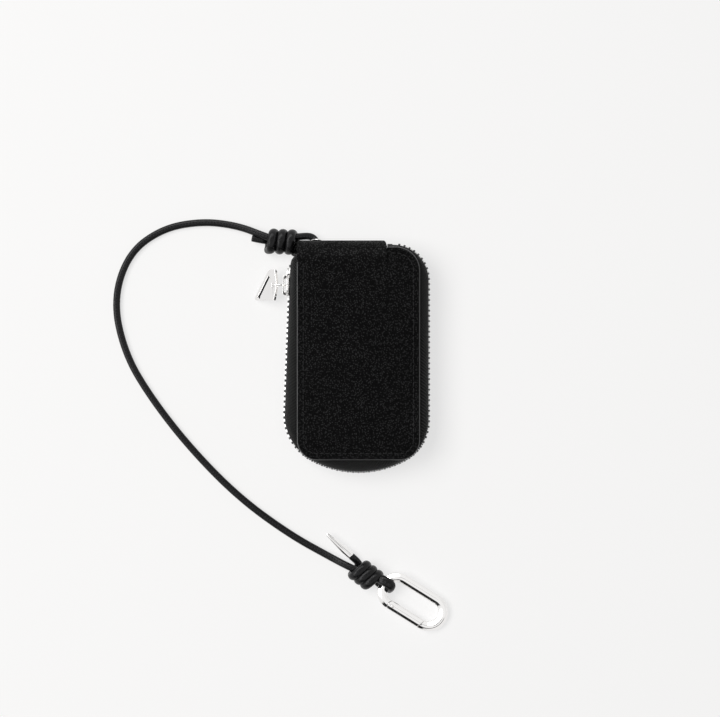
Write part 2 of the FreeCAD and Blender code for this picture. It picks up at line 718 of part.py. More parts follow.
def biarc(start, start_tangent, end, end_tangent):
    # Two arcs that leave along one tangent and arrive along another.
    chord = end - start
    spread = 2 * (1 - start_tangent.dot(end_tangent))
    reach = chord.dot(start_tangent + end_tangent)
    if spread < STRAIGHT_ENOUGH:
        return [arc_leaving(start, start_tangent, end)]
    size = (-reach + math.sqrt(reach ** 2 + spread * chord.dot(chord))) / spread
    joint = (start + end + (start_tangent - end_tangent) * size) * 0.5
    return [arc_leaving(start, start_tangent, joint), arc_arriving(joint, end, end_tangent)]


def rounded_route(points):
    # Straight runs joined by tangent arcs, each arc as wide as the shorter of its two runs allows.
    edges = []
    radii = []
    at = points[0]
    for before, corner, after in zip(points, points[1:], points[2:]):
        into = unit(corner - before)
        away = unit(after - corner)
        half_turn = into.getAngle(away) / 2
        reach = FILLET_SHARE * min((corner - before).Length, (after - corner).Length)
        start = corner - into * reach
        end = corner + away * reach
        edges.append(Part.LineSegment(at, start).toShape())
        edges.append(arc_leaving(start, into, end))
        radii.append(reach / math.tan(half_turn))
        at = end
    edges.append(Part.LineSegment(at, points[-1]).toShape())
    return edges, radii


def tube(edges, start, heading, diameter):
    wire = Part.Wire(edges)
    profile = Part.Wire(Part.makeCircle(diameter / 2, start, heading))
    solid = wire.makePipeShell([profile], True, False)
    expected = math.pi * diameter ** 2 / 4 * wire.Length
    print("tube length", round(wire.Length, 1), "volume", round(solid.Volume, 2),
          "section times length", round(expected, 2))
    return solid, wire


def least_self_gap(wire, diameter):
    # Smallest clear distance between parts of a wire that are not neighbours along it.
    step = diameter / 4
    points = wire.discretize(Distance=step)
    skip = int(math.pi * diameter / step)
    least = None
    for index, point in enumerate(points):
        for other in points[index + skip:]:
            distance = (point - other).Length
            if least is None or distance < least:
                least = distance
    return least - diameter


def coil_route(origin, axis, side, radius, corners, bend_radius):
    # A route drawn on an unrolled cylinder, as (turned angle, distance along the axis) corners, rolled up.
    up = axis.cross(side)

    def rolled(flat):
        angle = flat.x / radius
        return origin + axis * flat.y + (side * math.cos(angle) + up * math.sin(angle)) * radius

    def rolled_heading(flat, heading):
        angle = flat.x / radius
        around = up * math.cos(angle) - side * math.sin(angle)
        return unit(around * heading.x + axis * heading.y)

    flats = [V(math.radians(angle) * radius, along, 0) for angle, along in corners]
    stations = [(flats[0], unit(flats[1] - flats[0]))]
    quarter = math.pi * radius / 2
    for index in range(1, len(flats)):
        heading = unit(flats[index] - flats[index - 1])
        last = index == len(flats) - 1
        end = flats[index]
        if not last:
            away = unit(flats[index + 1] - flats[index])
            half_turn = heading.getAngle(away) / 2
            end = flats[index] - heading * (bend_radius * math.tan(half_turn))
        start = stations[-1][0]
        pieces = max(1, math.ceil(abs(end.x - start.x) / quarter))
        for piece in range(1, pieces + 1):
            stations.append((start + (end - start) * (piece / pieces), heading))
        if not last:
            sense = 1 if heading.x * away.y - heading.y * away.x > 0 else -1
            centre = end + V(-heading.y, heading.x, 0) * (sense * bend_radius)
            for share in (0.5, 1.0):
                turn = FreeCAD.Rotation(UP, sense * share * math.degrees(2 * half_turn))
                stations.append((centre + turn.multVec(end - centre), turn.multVec(heading)))
    places = [(rolled(flat), rolled_heading(flat, heading)) for flat, heading in stations]
    edges = []
    for (start, start_heading), (end, end_heading) in zip(places, places[1:]):
        edges.extend(biarc(start, start_heading, end, end_heading))
    return edges, places[0], places[-1]


# Carabiner: x runs along the ring away from the cord, z is square to the ring


BAR_RADIUS = RING_SECTION / 2
RING_ARC_RADIUS = (RING_WIDTH - RING_SECTION) / 2
RING_HALF_STRAIGHT = (RING_LENGTH - RING_WIDTH) / 2
RING_END = RING_HALF_STRAIGHT + RING_ARC_RADIUS
RING_HIGH_END = CORD_DIAMETER + CORD_FLOOR_GAP + RING_CORD_GAP + BAR_RADIUS
RING_LOW_END = BAR_RADIUS + RING_FLOOR_GAP
RING_TILT = math.degrees(math.asin((RING_HIGH_END - RING_LOW_END) / (2 * RING_END)))
RING_LEVEL_X = polar(RING_ANGLE, 1.0)
RING_AXIS_Y = UP.cross(RING_LEVEL_X)
RING_AXIS_X = RING_LEVEL_X * math.cos(math.radians(RING_TILT)) - UP * math.sin(math.radians(RING_TILT))
RING_AXIS_Z = RING_AXIS_X.cross(RING_AXIS_Y)
RING_CENTRE = V(RING_X, RING_Y, (RING_HIGH_END + RING_LOW_END) / 2)
GATE_PIVOT_X = -RING_HALF_STRAIGHT + GATE_PIVOT_FROM_END
GATE_Y = -RING_ARC_RADIUS
GATE_TIP_X = RING_HALF_STRAIGHT - GATE_TIP_FROM_END


def on_ring(shape):
    return placed(shape, RING_CENTRE, RING_AXIS_X, RING_AXIS_Y, RING_AXIS_Z)


def ring_point(x, y, z):
    return RING_CENTRE + RING_AXIS_X * x + RING_AXIS_Y * y + RING_AXIS_Z * z


def beside_ring(x, height, y=0.0):
    # A point at a height above the floor, at a level distance along and across the ring.
    flat = V(RING_X, RING_Y, 0) + RING_LEVEL_X * x + RING_AXIS_Y * y
    return V(flat.x, flat.y, height)


def tip_cutter(gap):
    # Everything beyond the slanted split between the gate and the nose of the ring.
    big = RING_LENGTH
    slab = box(0, big, -big, big, -big, big)
    slab.rotate(V(0, 0, 0), UP, -GATE_TIP_SLANT)
    slab.translate(V(GATE_TIP_X + gap, GATE_Y, 0))
    return slab


def carabiner_frame():
    arc_right = RING_HALF_STRAIGHT
    arc_left = -RING_HALF_STRAIGHT
    reach = RING_ARC_RADIUS
    edges = [Part.LineSegment(V(GATE_TIP_X - RING_SECTION, -reach, 0), V(arc_right, -reach, 0)).toShape(),
             Part.Arc(V(arc_right, -reach, 0), V(arc_right + reach, 0, 0), V(arc_right, reach, 0)).toShape(),
             Part.LineSegment(V(arc_right, reach, 0), V(arc_left, reach, 0)).toShape(),
             Part.Arc(V(arc_left, reach, 0), V(arc_left - reach, 0, 0), V(arc_left, -reach, 0)).toShape(),
             Part.LineSegment(V(arc_left, -reach, 0), V(GATE_PIVOT_X, -reach, 0)).toShape()]
    profile = Part.Wire(Part.makeCircle(BAR_RADIUS, V(GATE_TIP_X - RING_SECTION, -reach, 0), V(1, 0, 0)))
    bar = Part.Wire(edges).makePipeShell([profile], True, False)
    beyond_tip = tip_cutter(GATE_TIP_GAP)
    before_tip = box(GATE_TIP_X - 2 * RING_SECTION, RING_LENGTH, GATE_Y - RING_SECTION, 0,
                     -RING_SECTION, RING_SECTION).cut(beyond_tip)
    room = Part.makeCylinder(BAR_RADIUS + GATE_END_GAP, RING_SECTION * 2,
                             V(GATE_PIVOT_X, GATE_Y, -RING_SECTION))
    bar = bar.cut(before_tip).cut(room)
    half = GATE_TONGUE_THICKNESS / 2
    root_x = GATE_PIVOT_X - BAR_RADIUS - GATE_END_GAP - GATE_TONGUE_THICKNESS / 2
    root_half = GATE_TONGUE_RADIUS / 2
    disc = Part.makeCylinder(GATE_TONGUE_RADIUS, GATE_TONGUE_THICKNESS, V(GATE_PIVOT_X, GATE_Y, -half))
    root = box(root_x, GATE_PIVOT_X, GATE_Y - root_half, GATE_Y + root_half, -half, half)
    hole = Part.makeCylinder(GATE_PIN_RADIUS + GATE_PIN_PRESS_GAP, RING_SECTION * 2,
                             V(GATE_PIVOT_X, GATE_Y, -RING_SECTION))
    return on_ring(merged([bar, disc, root]).cut(hole))


def gate_pin():
    length = 2 * math.sqrt(BAR_RADIUS ** 2 - GATE_PIN_RADIUS ** 2) - GATE_CHEEK_GAP
    return on_ring(Part.makeCylinder(GATE_PIN_RADIUS, length, V(GATE_PIVOT_X, GATE_Y, -length / 2)))


def carabiner_gate():
    along = V(1, 0, 0)
    bar = Part.makeCylinder(BAR_RADIUS, RING_LENGTH / 2, V(GATE_PIVOT_X, GATE_Y, 0), along)
    bar = bar.cut(tip_cutter(0.0))
    heel = Part.makeCylinder(BAR_RADIUS, BAR_RADIUS, V(GATE_PIVOT_X - BAR_RADIUS, GATE_Y, 0), along)
    round_heel = Part.makeCylinder(BAR_RADIUS, RING_SECTION * 2, V(GATE_PIVOT_X, GATE_Y, -RING_SECTION))
    gate = merged([bar, heel.common(round_heel)])
    slot_half = GATE_TONGUE_THICKNESS / 2 + GATE_CHEEK_GAP
    slot = box(GATE_PIVOT_X - RING_SECTION, GATE_PIVOT_X + GATE_SLOT_PAST_PIVOT,
               GATE_Y - RING_SECTION, GATE_Y + RING_SECTION, -slot_half, slot_half)
    hole = Part.makeCylinder(GATE_PIN_RADIUS + GATE_PIN_RUNNING_GAP, RING_SECTION * 2,
                             V(GATE_PIVOT_X, GATE_Y, -RING_SECTION))
    bore = Part.makeCylinder(GATE_BORE_RADIUS, GATE_BORE_DEPTH + GATE_SLOT_PAST_PIVOT,
                             V(GATE_PIVOT_X, GATE_Y, 0), along)
    return on_ring(gate.cut(slot).cut(hole).cut(bore))


PLUNGER_X = GATE_PIVOT_X + GATE_TONGUE_RADIUS + PLUNGER_GAP
SPRING_X = PLUNGER_X + PLUNGER_LENGTH + PLUNGER_GAP


def gate_plunger():
    return on_ring(Part.makeCylinder(PLUNGER_RADIUS, PLUNGER_LENGTH, V(PLUNGER_X, GATE_Y, 0), V(1, 0, 0)))


def gate_spring():
    origin = ring_point(SPRING_X + SPRING_WIRE, GATE_Y, 0)
    corners = [(0.0, 0.0), (360.0 * SPRING_TURNS, SPRING_PITCH * SPRING_TURNS)]
    edges, first, last = coil_route(origin, RING_AXIS_X, RING_AXIS_Y, SPRING_COIL_RADIUS, corners,
                                    SPRING_WIRE)
    lead_in = first[0] - first[1] * SPRING_WIRE
    lead_out = last[0] + last[1] * SPRING_WIRE
    edges = [Part.LineSegment(lead_in, first[0]).toShape()] + edges
    edges.append(Part.LineSegment(last[0], lead_out).toShape())
    solid, wire = tube(edges, lead_in, first[1], SPRING_WIRE)
    print("gate spring least gap", round(least_self_gap(wire, SPRING_WIRE), 2))
    return solid


# Cord: long run between the two knots, and each knot with its loop and its tail


CORD_Z = CORD_DIAMETER / 2 + CORD_FLOOR_GAP


def by_case_corner(x, y, height):
    # A point at a height above the floor, seen from where the fold meets the left edge.
    return V(-HALF_WIDTH + x, FOLD_Y + y, height)


CASE_CORE = by_case_corner(-9.4, 0.8, 5.9)
HOOK_CORE = beside_ring(-28.9, 6.1, -0.3)
LANYARD_POINTS = [
    CASE_CORE,
    by_case_corner(-16.4, 1.6, 6.0),
    by_case_corner(-29.0, 7.8, 2.6),
    by_case_corner(-46.0, 9.8, CORD_Z),
    by_case_corner(-65.2, 6.4, CORD_Z),
    by_case_corner(-81.6, -5.6, CORD_Z),
    V(-117.9, 23.5, CORD_Z),
    V(-112.1, -2.4, CORD_Z),
    V(-99.4, -23.6, CORD_Z),
    V(-80.8, -47.4, CORD_Z),
    V(-57.6, -71.0, CORD_Z),
    V(-33.0, -88.9, CORD_Z),
    V(-13.0, -99.6, 2.7),
    beside_ring(-36.0, 6.1, -1.0),
    HOOK_CORE,
]
CASE_LOOP_POINTS = [
    CASE_CORE,
    by_case_corner(-2.4, 0.0, 5.8),
    from_fold_axis(EYELET_X, 15.4),
    from_fold_axis(EYELET_X, 2.6),
]
HOOK_LOOP_POINTS = [
    HOOK_CORE,
    beside_ring(-21.8, 6.1, 0.4),
    beside_ring(-18.7, 10.1, 0.2),
    beside_ring(-11.9, 10.3, 0.0),
    beside_ring(-11.9, CORD_Z, 0.0),
]


def lanyard_cord():
    edges, radii = rounded_route(LANYARD_POINTS)
    print("lanyard radii", [round(radius, 1) for radius in radii])
    heading = unit(LANYARD_POINTS[1] - LANYARD_POINTS[0])
    solid, wire = tube(edges, LANYARD_POINTS[0], heading, CORD_DIAMETER)
    print("lanyard least self gap", round(least_self_gap(wire, CORD_DIAMETER), 2))
    return solid


def case_coil():
    axis = polar(-CASE_KNOT_LEAN, 1.0)
    origin = by_case_corner(CASE_KNOT_FROM_LEFT, CASE_KNOT_FROM_FOLD, CORD_Z + COIL_RADIUS)
    turns = (CASE_KNOT_START_ANGLE - CASE_KNOT_END_ANGLE) / 360.0
    corner_along = -COIL_PITCH * turns
    end_along = corner_along - COIL_CORNER_RADIUS - TAIL_LENGTH
    corners = [(CASE_KNOT_START_ANGLE, 0.0), (CASE_KNOT_END_ANGLE, corner_along),
               (CASE_KNOT_END_ANGLE, end_along)]
    return coil_route(origin, axis, UP.cross(axis), COIL_RADIUS, corners, COIL_CORNER_RADIUS)


def hook_coil():
    turns = (HOOK_KNOT_START_ANGLE - HOOK_KNOT_END_ANGLE) / 360.0
    corner_along = -COIL_PITCH * turns
    end_along = corner_along - COIL_CORNER_RADIUS - TAIL_LENGTH
    corners = [(HOOK_KNOT_START_ANGLE, COIL_CORNER_RADIUS), (HOOK_KNOT_START_ANGLE, 0.0),
               (HOOK_KNOT_END_ANGLE, corner_along), (HOOK_KNOT_END_ANGLE, end_along)]
    origin = beside_ring(HOOK_KNOT_FROM_RING, CORD_Z + COIL_RADIUS)
    return coil_route(origin, RING_LEVEL_X, RING_AXIS_Y, COIL_RADIUS, corners, COIL_CORNER_RADIUS)


def knot(points, coil_edges, name):
    edges, radii = rounded_route(points)
    print(name, "loop radii", [round(radius, 1) for radius in radii])
    solid, wire = tube(edges + coil_edges, points[0], unit(points[1] - points[0]), CORD_DIAMETER)
    print(name, "least self gap", round(least_self_gap(wire, CORD_DIAMETER), 2))
    return solid


def case_knot():
    coil_edges, first, last = case_coil()
    lead_in = first[0] - first[1] * CASE_LEAD_IN
    return knot(CASE_LOOP_POINTS + [lead_in, first[0]], coil_edges, "case_knot")


def hook_knot():
    coil_edges, first, last = hook_coil()
    return knot(HOOK_LOOP_POINTS + [first[0]], coil_edges, "hook_knot")


def cord_tip():
    coil_edges, first, last = hook_coil()
    tail_end, heading = last
    start = tail_end - heading * TIP_SOCKET
    mouth = CORD_DIAMETER / 2 + TIP_WALL
    cone = Part.makeCone(mouth, TIP_END_RADIUS, TIP_LENGTH - TIP_SOCKET, tail_end, heading)
    sleeve = Part.makeCylinder(mouth, TIP_SOCKET, start, heading)
    socket = Part.makeCylinder(CORD_DIAMETER / 2, TIP_SOCKET, start, heading)
    return merged([cone, sleeve.cut(socket)])


# Pieces of the back half
save(half_panel().cut(eyelet_hole()), "back_panel")
save(with_rivet_holes(half_board()), "back_stiffener")
save(with_rivet_holes(half_lining()), "back_lining")
save(half_tape(), "back_zip_tape")
save(teeth_row(tooth(), TEETH_START), "back_zip_teeth")
save(on_chain(stop_clamp(STOP_LENGTH), SLIDER_TOP - STOP_LENGTH - TAPE_INSET), "back_top_stop")
save(on_chain(stop_clamp(END_STOP_LENGTH), CHAIN_LENGTH - END_STOP_LENGTH), "zip_end_stop")
save(cord_eyelet(), "cord_eyelet")
save(key_rail(), "key_rail")
save(rail_rod(), "key_rail_rod")
save(rail_rivets(), "key_rail_rivets")

# Pieces of the front half
save(mirrored(half_panel()), "front_panel")
save(mirrored(half_board()), "front_stiffener")
save(mirrored(half_lining()), "front_lining")
save(mirrored(half_tape()), "front_zip_tape")
FRONT_TOOTH = tooth().mirror(V(0, 0, 0), UP)
FRONT_STOP = stop_clamp(STOP_LENGTH).mirror(V(0, 0, 0), UP)
save(teeth_row(FRONT_TOOTH, TEETH_START + TOOTH_PITCH / 2), "front_zip_teeth")
save(on_chain(FRONT_STOP, SLIDER_TOP - STOP_LENGTH - TAPE_INSET), "front_top_stop")

# Slider and pull
save(on_slider(slider_body()), "slider_body")
save(on_slider(slider_crown()), "slider_crown")
save(pull_link(), "pull_link")
save(pull_tab(), "pull_tab")

# Key hooks
for hook_index in range(HOOK_COUNT):
    save(key_hook(hook_index), "key_hook_" + str(hook_index + 1))

# Carabiner
save(carabiner_frame(), "carabiner_frame")
save(gate_pin(), "gate_pin")
save(carabiner_gate(), "carabiner_gate")
save(gate_plunger(), "gate_plunger")
save(gate_spring(), "gate_spring")

# Cord
save(lanyard_cord(), "lanyard_cord")
save(case_knot(), "case_knot")
save(hook_knot(), "hook_knot")
save(cord_tip(), "cord_tip")

# Places that the record repeats
print("hinge y", FOLD_Y, "z", MIDDLE_Z)
print("slider heading", SLIDER_HEADING, "teeth per row", TEETH_IN_ROW)
print("chain left run", round(length_of(CHAIN_PATH[0]), 2))
print("link pivot", LINK_PIVOT, "link centre", LINK_CENTRE, "link side", LINK_SIDE)
print("ring centre", RING_CENTRE, "axis x", RING_AXIS_X, "axis y", RING_AXIS_Y, "axis z", RING_AXIS_Z)
print("ring arc centre", ring_point(-RING_HALF_STRAIGHT, 0, 0))
print("gate pivot", ring_point(GATE_PIVOT_X, GATE_Y, 0))
print("hook rod", ROD_Y, ROD_Z, "floor", FLOOR_Z)
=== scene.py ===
"""Visible pieces of a zip-round key case, its leather cord and its carabiner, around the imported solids."""

import math

import bpy
import numpy as np
from bpy.props import FloatProperty, FloatVectorProperty, IntProperty, PointerProperty
from mathutils import Matrix, Vector
from mathutils.geometry import delaunay_2d_cdt


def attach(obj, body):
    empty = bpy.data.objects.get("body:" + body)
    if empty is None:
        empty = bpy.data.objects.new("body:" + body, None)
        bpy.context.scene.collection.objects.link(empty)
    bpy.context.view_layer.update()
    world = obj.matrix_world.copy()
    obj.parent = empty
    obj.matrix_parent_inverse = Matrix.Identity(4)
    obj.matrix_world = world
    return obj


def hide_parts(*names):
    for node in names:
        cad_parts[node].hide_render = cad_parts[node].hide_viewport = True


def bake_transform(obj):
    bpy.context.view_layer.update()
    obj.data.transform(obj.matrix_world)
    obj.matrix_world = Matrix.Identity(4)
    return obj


bl_info = {
    "name": "Zip-round key case",
    "version": (1, 0, 0),
    "blender": (4, 5, 0),
    "location": "View3D > Sidebar > Key case",
    "description": "Builds the leather, zip, cord and metal of a key case around its solids",
    "category": "Object",
}

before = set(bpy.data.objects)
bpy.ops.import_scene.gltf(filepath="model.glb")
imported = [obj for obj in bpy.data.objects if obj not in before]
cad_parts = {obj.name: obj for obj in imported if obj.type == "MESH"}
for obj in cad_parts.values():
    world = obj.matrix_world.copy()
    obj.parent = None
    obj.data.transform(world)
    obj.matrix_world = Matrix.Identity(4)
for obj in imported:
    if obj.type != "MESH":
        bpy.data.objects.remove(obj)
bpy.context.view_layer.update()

# Lengths below are millimetres in the frame of the solids, and meshes are made in metres
MM = 0.001
# The flat maps that patterns follow run 1 for every 100 mm
MAP_PER_MM = 0.01
UP = Vector((0.0, 0.0, 1.0))

# Case
HALF_WIDTH = 29.0
BOTTOM_Y = -52.0
MIDDLE_Z = 11.0
CASE_DEPTH = 22.0
SPINE_CENTRE_Y = 41.0
SPINE_RUN = MIDDLE_Z * math.pi / 2
SPINE_RIGHT_X = 13.4
SPINE_FOLD_X = 12.5
SHOULDER_X = 13.8
SLIT_X = (SPINE_RIGHT_X + SHOULDER_X) / 2
SLIT_HALF = 0.06
SHOULDER_Y = 48.5
BOTTOM_RADIUS = 9.5
TOP_RADIUS = 11.5
FLANGE_Z = 1.7
LINING_Z = 2.0
LINING_END_Y = 40.4
LINING_INSET = 1.2

# Zip
CHAIN_LEFT_TOP = Vector((-31.9, 40.6))
CHAIN_LEFT_FOOT = Vector((-35.1, -42.5))
CHAIN_RIGHT_X = 32.9
CHAIN_TOP_Y = 49.5
CHAIN_TOP_RADIUS = 16.5
CHAIN_SAG_Y = -57.5
CHAIN_SAG = 5.5
CHAIN_HALF_CHORD = 22.0
TAPE_EDGE_FROM_MIDDLE = 1.25
TAPE_UPRIGHT = 4.8
TOOTH_PITCH = 2.5
TEETH_IN_ROW = 96
FIRST_TOOTH = 16.55
SLIDER_FROM_TAPE_END = 1.9

# Slider, link and tab
LINK_CENTRE = Vector((-37.784568, 30.719116, 11.0))
LINK_OUT = Vector((-0.9992594, 0.0384793, 0.0))
LINK_RADIUS = 3.1
LINK_WIRE = 0.8
TAB_DROOP = math.radians(40.0)

# Carabiner
RING_CENTRE = Vector((26.0, -120.85, 4.05))
RING_X = Vector((0.8387636, -0.5343513, -0.1046154))
RING_Y = Vector((0.5372996, 0.8433914, 0.0))
RING_Z = Vector((0.0882317, -0.0562098, 0.9945128))
RING_LEVEL_X = Vector((0.8433914, -0.5372996, 0.0))
RING_HALF_STRAIGHT = 9.3
RING_ARC_RADIUS = 6.95
BAR_RADIUS = 2.3
BAR_CORNERS = ((1.0, 0.375), (0.22, 1.0), (-0.22, 1.0), (-1.0, 0.375),
               (-1.0, -0.375), (-0.22, -1.0), (0.22, -1.0), (1.0, -0.375))
BAR_EASING = 0.16
GATE_PIVOT = Vector((-7.6, -6.95))
GATE_ROOM = 2.55
GATE_TIP_X = 8.5
GATE_TIP_GAP = 0.3
GATE_SLANT = math.tan(math.radians(18.0))
CAP_EASING = 0.16

# Cord, its two wound knots, its loop on the carabiner and the eyelet that it goes through
CORD_Z = 1.75
COIL_RADIUS = 4.45
COIL_WIDENED = 1.3
COIL_THICKENED = 1.06
COIL_POINTS_PER_TURN = 16
COIL_HEIGHT = CORD_Z + COIL_RADIUS
CASE_COIL_ORIGIN = Vector((-30.0, 51.4, COIL_HEIGHT))
CASE_COIL_AXIS = Vector((math.cos(math.radians(2.5)), -math.sin(math.radians(2.5)), 0.0))
CASE_COIL_PITCH = 4.4
CASE_COIL_LENGTH = 12.4
CASE_COIL_LEVELLED = 0.6
HOOK_COIL_PITCH = 3.65
HOOK_COIL_LENGTH = 11.2
HOOK_COIL_LEVELLED = -0.4
HOOK_COIL_FROM_RING = -20.6
HOOK_COIL_ASIDE = -1.5
HOOK_COIL_AXIS = Matrix.Rotation(math.radians(-5.0), 3, "Z") @ RING_LEVEL_X
LOOP_REACH = 5.4
LOOP_WIDENED = 1.4
LOOP_MIDDLE = (-14.8, 8.8, 0.4)
EYELET_X = -20.0
EYELET_ANGLE = math.radians(32.0)
EYELET_OUT = Vector((0.0, math.cos(EYELET_ANGLE), -math.sin(EYELET_ANGLE)))
EYELET_AXIS_START = Vector((EYELET_X, SPINE_CENTRE_Y, MIDDLE_Z))

# Metals: colour, least and most roughness, smudges to the metre and strength of the hairlines
METALS = {
    "polished_plating": (None, 0.05, 0.12, 150.0, 0.12),
    "zip_metal": ((0.62, 0.61, 0.6), 0.08, 0.16, 300.0, 0.25),
    # The near-black metal on the tab's slot walls is painted shadow inside the slot.
    "dark_recess": ((0.04, 0.04, 0.04), 0.35, 0.5, 200.0, 0.2),
    "brushed_steel": ((0.55, 0.55, 0.56), 0.24, 0.4, 200.0, 0.35),
}


class KeyCaseSizes(bpy.types.PropertyGroup):
    """Sizes of the worked surfaces."""

    leather_thickness: FloatProperty(
        name="Leather thickness", description="Thickness of the cover's leather",
        default=1.4 * MM, min=0.6 * MM, max=2.0 * MM, unit="LENGTH", subtype="DISTANCE")
    front_crown: FloatProperty(
        name="Front crown", description="How far the middle of the front panel swells",
        default=0.8 * MM, min=0.0, max=2.0 * MM, unit="LENGTH", subtype="DISTANCE")
    stitch_inset: FloatProperty(
        name="Stitch inset", description="Distance of the sewn line from the leather's edge",
        default=3.1 * MM, min=2.0 * MM, max=5.0 * MM, unit="LENGTH", subtype="DISTANCE")
    stitch_pitch: FloatProperty(
        name="Stitch pitch", description="Distance from one stitch to the next",
        default=2.7 * MM, min=1.5 * MM, max=6.0 * MM, unit="LENGTH", subtype="DISTANCE")
    tape_thickness: FloatProperty(
        name="Tape thickness", description="Thickness of the zip tape",
        default=0.6 * MM, min=0.2 * MM, max=0.8 * MM, unit="LENGTH", subtype="DISTANCE")
    cord_diameter: FloatProperty(
        name="Cord diameter", description="Diameter of the round leather cord",
        default=3.4 * MM, min=2.0 * MM, max=4.0 * MM, unit="LENGTH", subtype="DISTANCE")
    cord_sides: IntProperty(
        name="Cord sides", description="Faces round the cord", default=24, min=8, max=32)


class KeyCaseColours(bpy.types.PropertyGroup):
    """Colours of the finishes."""

    leather: FloatVectorProperty(
        name="Leather", description="Colour of the pebbled leather", subtype="COLOR", size=3,
        default=(0.0030, 0.0031, 0.0033), min=0.0, max=1.0)
    # The sealed edge colour is partly the edge's own paint and partly a painted highlight where the rounded
    # edge catches light.
    sealed_edge_and_highlight: FloatVectorProperty(
        name="Painted edge", description="Colour of the sealed cut edge", subtype="COLOR", size=3,
        default=(0.035, 0.036, 0.037), min=0.0, max=1.0)
    tape: FloatVectorProperty(
        name="Zip tape", description="Colour of the woven tape", subtype="COLOR", size=3,
        default=(0.0095, 0.0099, 0.0099), min=0.0, max=1.0)
    thread: FloatVectorProperty(
        name="Thread", description="Colour of the sewing thread", subtype="COLOR", size=3,
        default=(0.006, 0.006, 0.0065), min=0.0, max=1.0)
    cord: FloatVectorProperty(
        name="Cord", description="Colour of the cord's leather", subtype="COLOR", size=3,
        default=(0.0045, 0.0045, 0.005), min=0.0, max=1.0)
    lining: FloatVectorProperty(
        name="Lining", description="Colour of the lining cloth", subtype="COLOR", size=3,
        default=(0.035, 0.035, 0.038), min=0.0, max=1.0)
    plating: FloatVectorProperty(
        name="Plating", description="Colour of the polished plating", subtype="COLOR", size=3,
        default=(0.95, 0.94, 0.93), min=0.0, max=1.0)
    floor: FloatVectorProperty(
        name="Floor", description="Colour of the floor", subtype="COLOR", size=3,
        default=(0.965, 0.963, 0.962), min=0.0, max=1.0)


class KeyCaseStage(bpy.types.PropertyGroup):
    """Camera and light."""

    camera_height: FloatProperty(
        name="Camera height", description="Height of the camera over the floor",
        default=0.9, min=0.3, max=3.0, unit="LENGTH", subtype="DISTANCE")
    lens: FloatProperty(
        name="Lens", description="Focal length on a 36 mm sensor",
        default=93.4, min=20.0, max=300.0, unit="CAMERA")
    sky: FloatProperty(
        name="Sky", description="Even light from all round", default=0.2, min=0.0, max=2.0)
    window: FloatProperty(
        name="Window", description="Power of the large soft lamp at the left",
        default=24.0, min=0.0, max=200.0, unit="POWER")


# Node trees


def add(tree, kind, **settings):
    """A new node with its settings."""
    node = tree.nodes.new(kind)
    for key, value in settings.items():
        setattr(node, key, value)
    return node


def feed(tree, socket, value):
    """Links a socket to another one, or sets its value."""
    if isinstance(value, bpy.types.NodeSocket):
        tree.links.new(value, socket)
    else:
        socket.default_value = value


def fill(tree, node, **inputs):
    """Feeds a node's inputs by their names, in which _ stands for a space."""
    for label, value in inputs.items():
        feed(tree, node.inputs[label.replace("_", " ")], value)
    return node


def worked_out(tree, kind, operation, values):
    node = add(tree, kind, operation=operation)
    for socket, value in zip(node.inputs, values):
        feed(tree, socket, value)
    return node.outputs


def maths(tree, operation, *values):
    return worked_out(tree, "ShaderNodeMath", operation, values)[0]


def times(tree, first, second):
    return maths(tree, "MULTIPLY", first, second)


def larger(tree, first, second):
    return maths(tree, "MAXIMUM", first, second)


def vector_maths(tree, operation, *values):
    return worked_out(tree, "ShaderNodeVectorMath", operation, values)


def split(tree, vector):
    """The X, Y and Z of a vector."""
    node = add(tree, "ShaderNodeSeparateXYZ")
    feed(tree, node.inputs[0], vector)
    return node.outputs


def ranged(tree, value, low, high, to_low=0.0, to_high=1.0):
    """Eases a value from one range into another."""
    node = add(tree, "ShaderNodeMapRange", interpolation_type="SMOOTHSTEP")
    fill(tree, node, Value=value, From_Min=low, From_Max=high, To_Min=to_low, To_Max=to_high)
    return node.outputs["Result"]


def fading(tree, value, low, high):
    """1 below a range, easing to 0 above it."""
    return ranged(tree, value, low, high, 1.0, 0.0)


def between(tree, share, at_none, at_all):
    """Eases from one value to another as a share goes from 0 to 1."""
    return ranged(tree, share, 0.0, 1.0, at_none, at_all)


def tinted(tree, share, low, high, kind="RGBA"):
    node = add(tree, "ShaderNodeMix", data_type=kind)
    fill(tree, node, Factor=share, A=low, B=high)
    return node.outputs["Result"]


def rgba(colour, share=1.0):
    return (colour[0] * share, colour[1] * share, colour[2] * share, 1.0)


def shades(tree, share, colour, darkest, palest):
    """A colour between two shares of its brightness."""
    return tinted(tree, share, rgba(colour, darkest), rgba(colour, palest))


def noise(tree, vector, scale, detail=2.0, roughness=0.5):
    node = add(tree, "ShaderNodeTexNoise")
    return fill(tree, node, Vector=vector, Scale=scale, Detail=detail, Roughness=roughness).outputs


def flat_map(tree):
    return add(tree, "ShaderNodeUVMap", uv_map="flat").outputs["UV"]


def object_place(tree):
    return add(tree, "ShaderNodeTexCoord").outputs["Object"]


# Effects that several finishes share


def shared_group(name, build):
    """The node group of this name, built the first time that it is asked for."""
    if name not in bpy.data.node_groups:
        build(name)
    return bpy.data.node_groups[name]


def placed_group(tree, name, build, vector, **values):
    node = add(tree, "ShaderNodeGroup", node_tree=shared_group(name, build))
    return fill(tree, node, Vector=vector, **values).outputs


def shader_group(name, inputs, outputs):
    """A new group that takes a vector and named values, and gives named values."""
    tree = bpy.data.node_groups.new(name, "ShaderNodeTree")
    tree.interface.new_socket("Vector", in_out="INPUT", socket_type="NodeSocketVector")
    for label, value in inputs.items():
        socket = tree.interface.new_socket(label, in_out="INPUT", socket_type="NodeSocketFloat")
        socket.default_value = value
    for label in outputs:
        tree.interface.new_socket(label, in_out="OUTPUT", socket_type="NodeSocketFloat")
    return tree, add(tree, "NodeGroupInput").outputs, add(tree, "NodeGroupOutput")


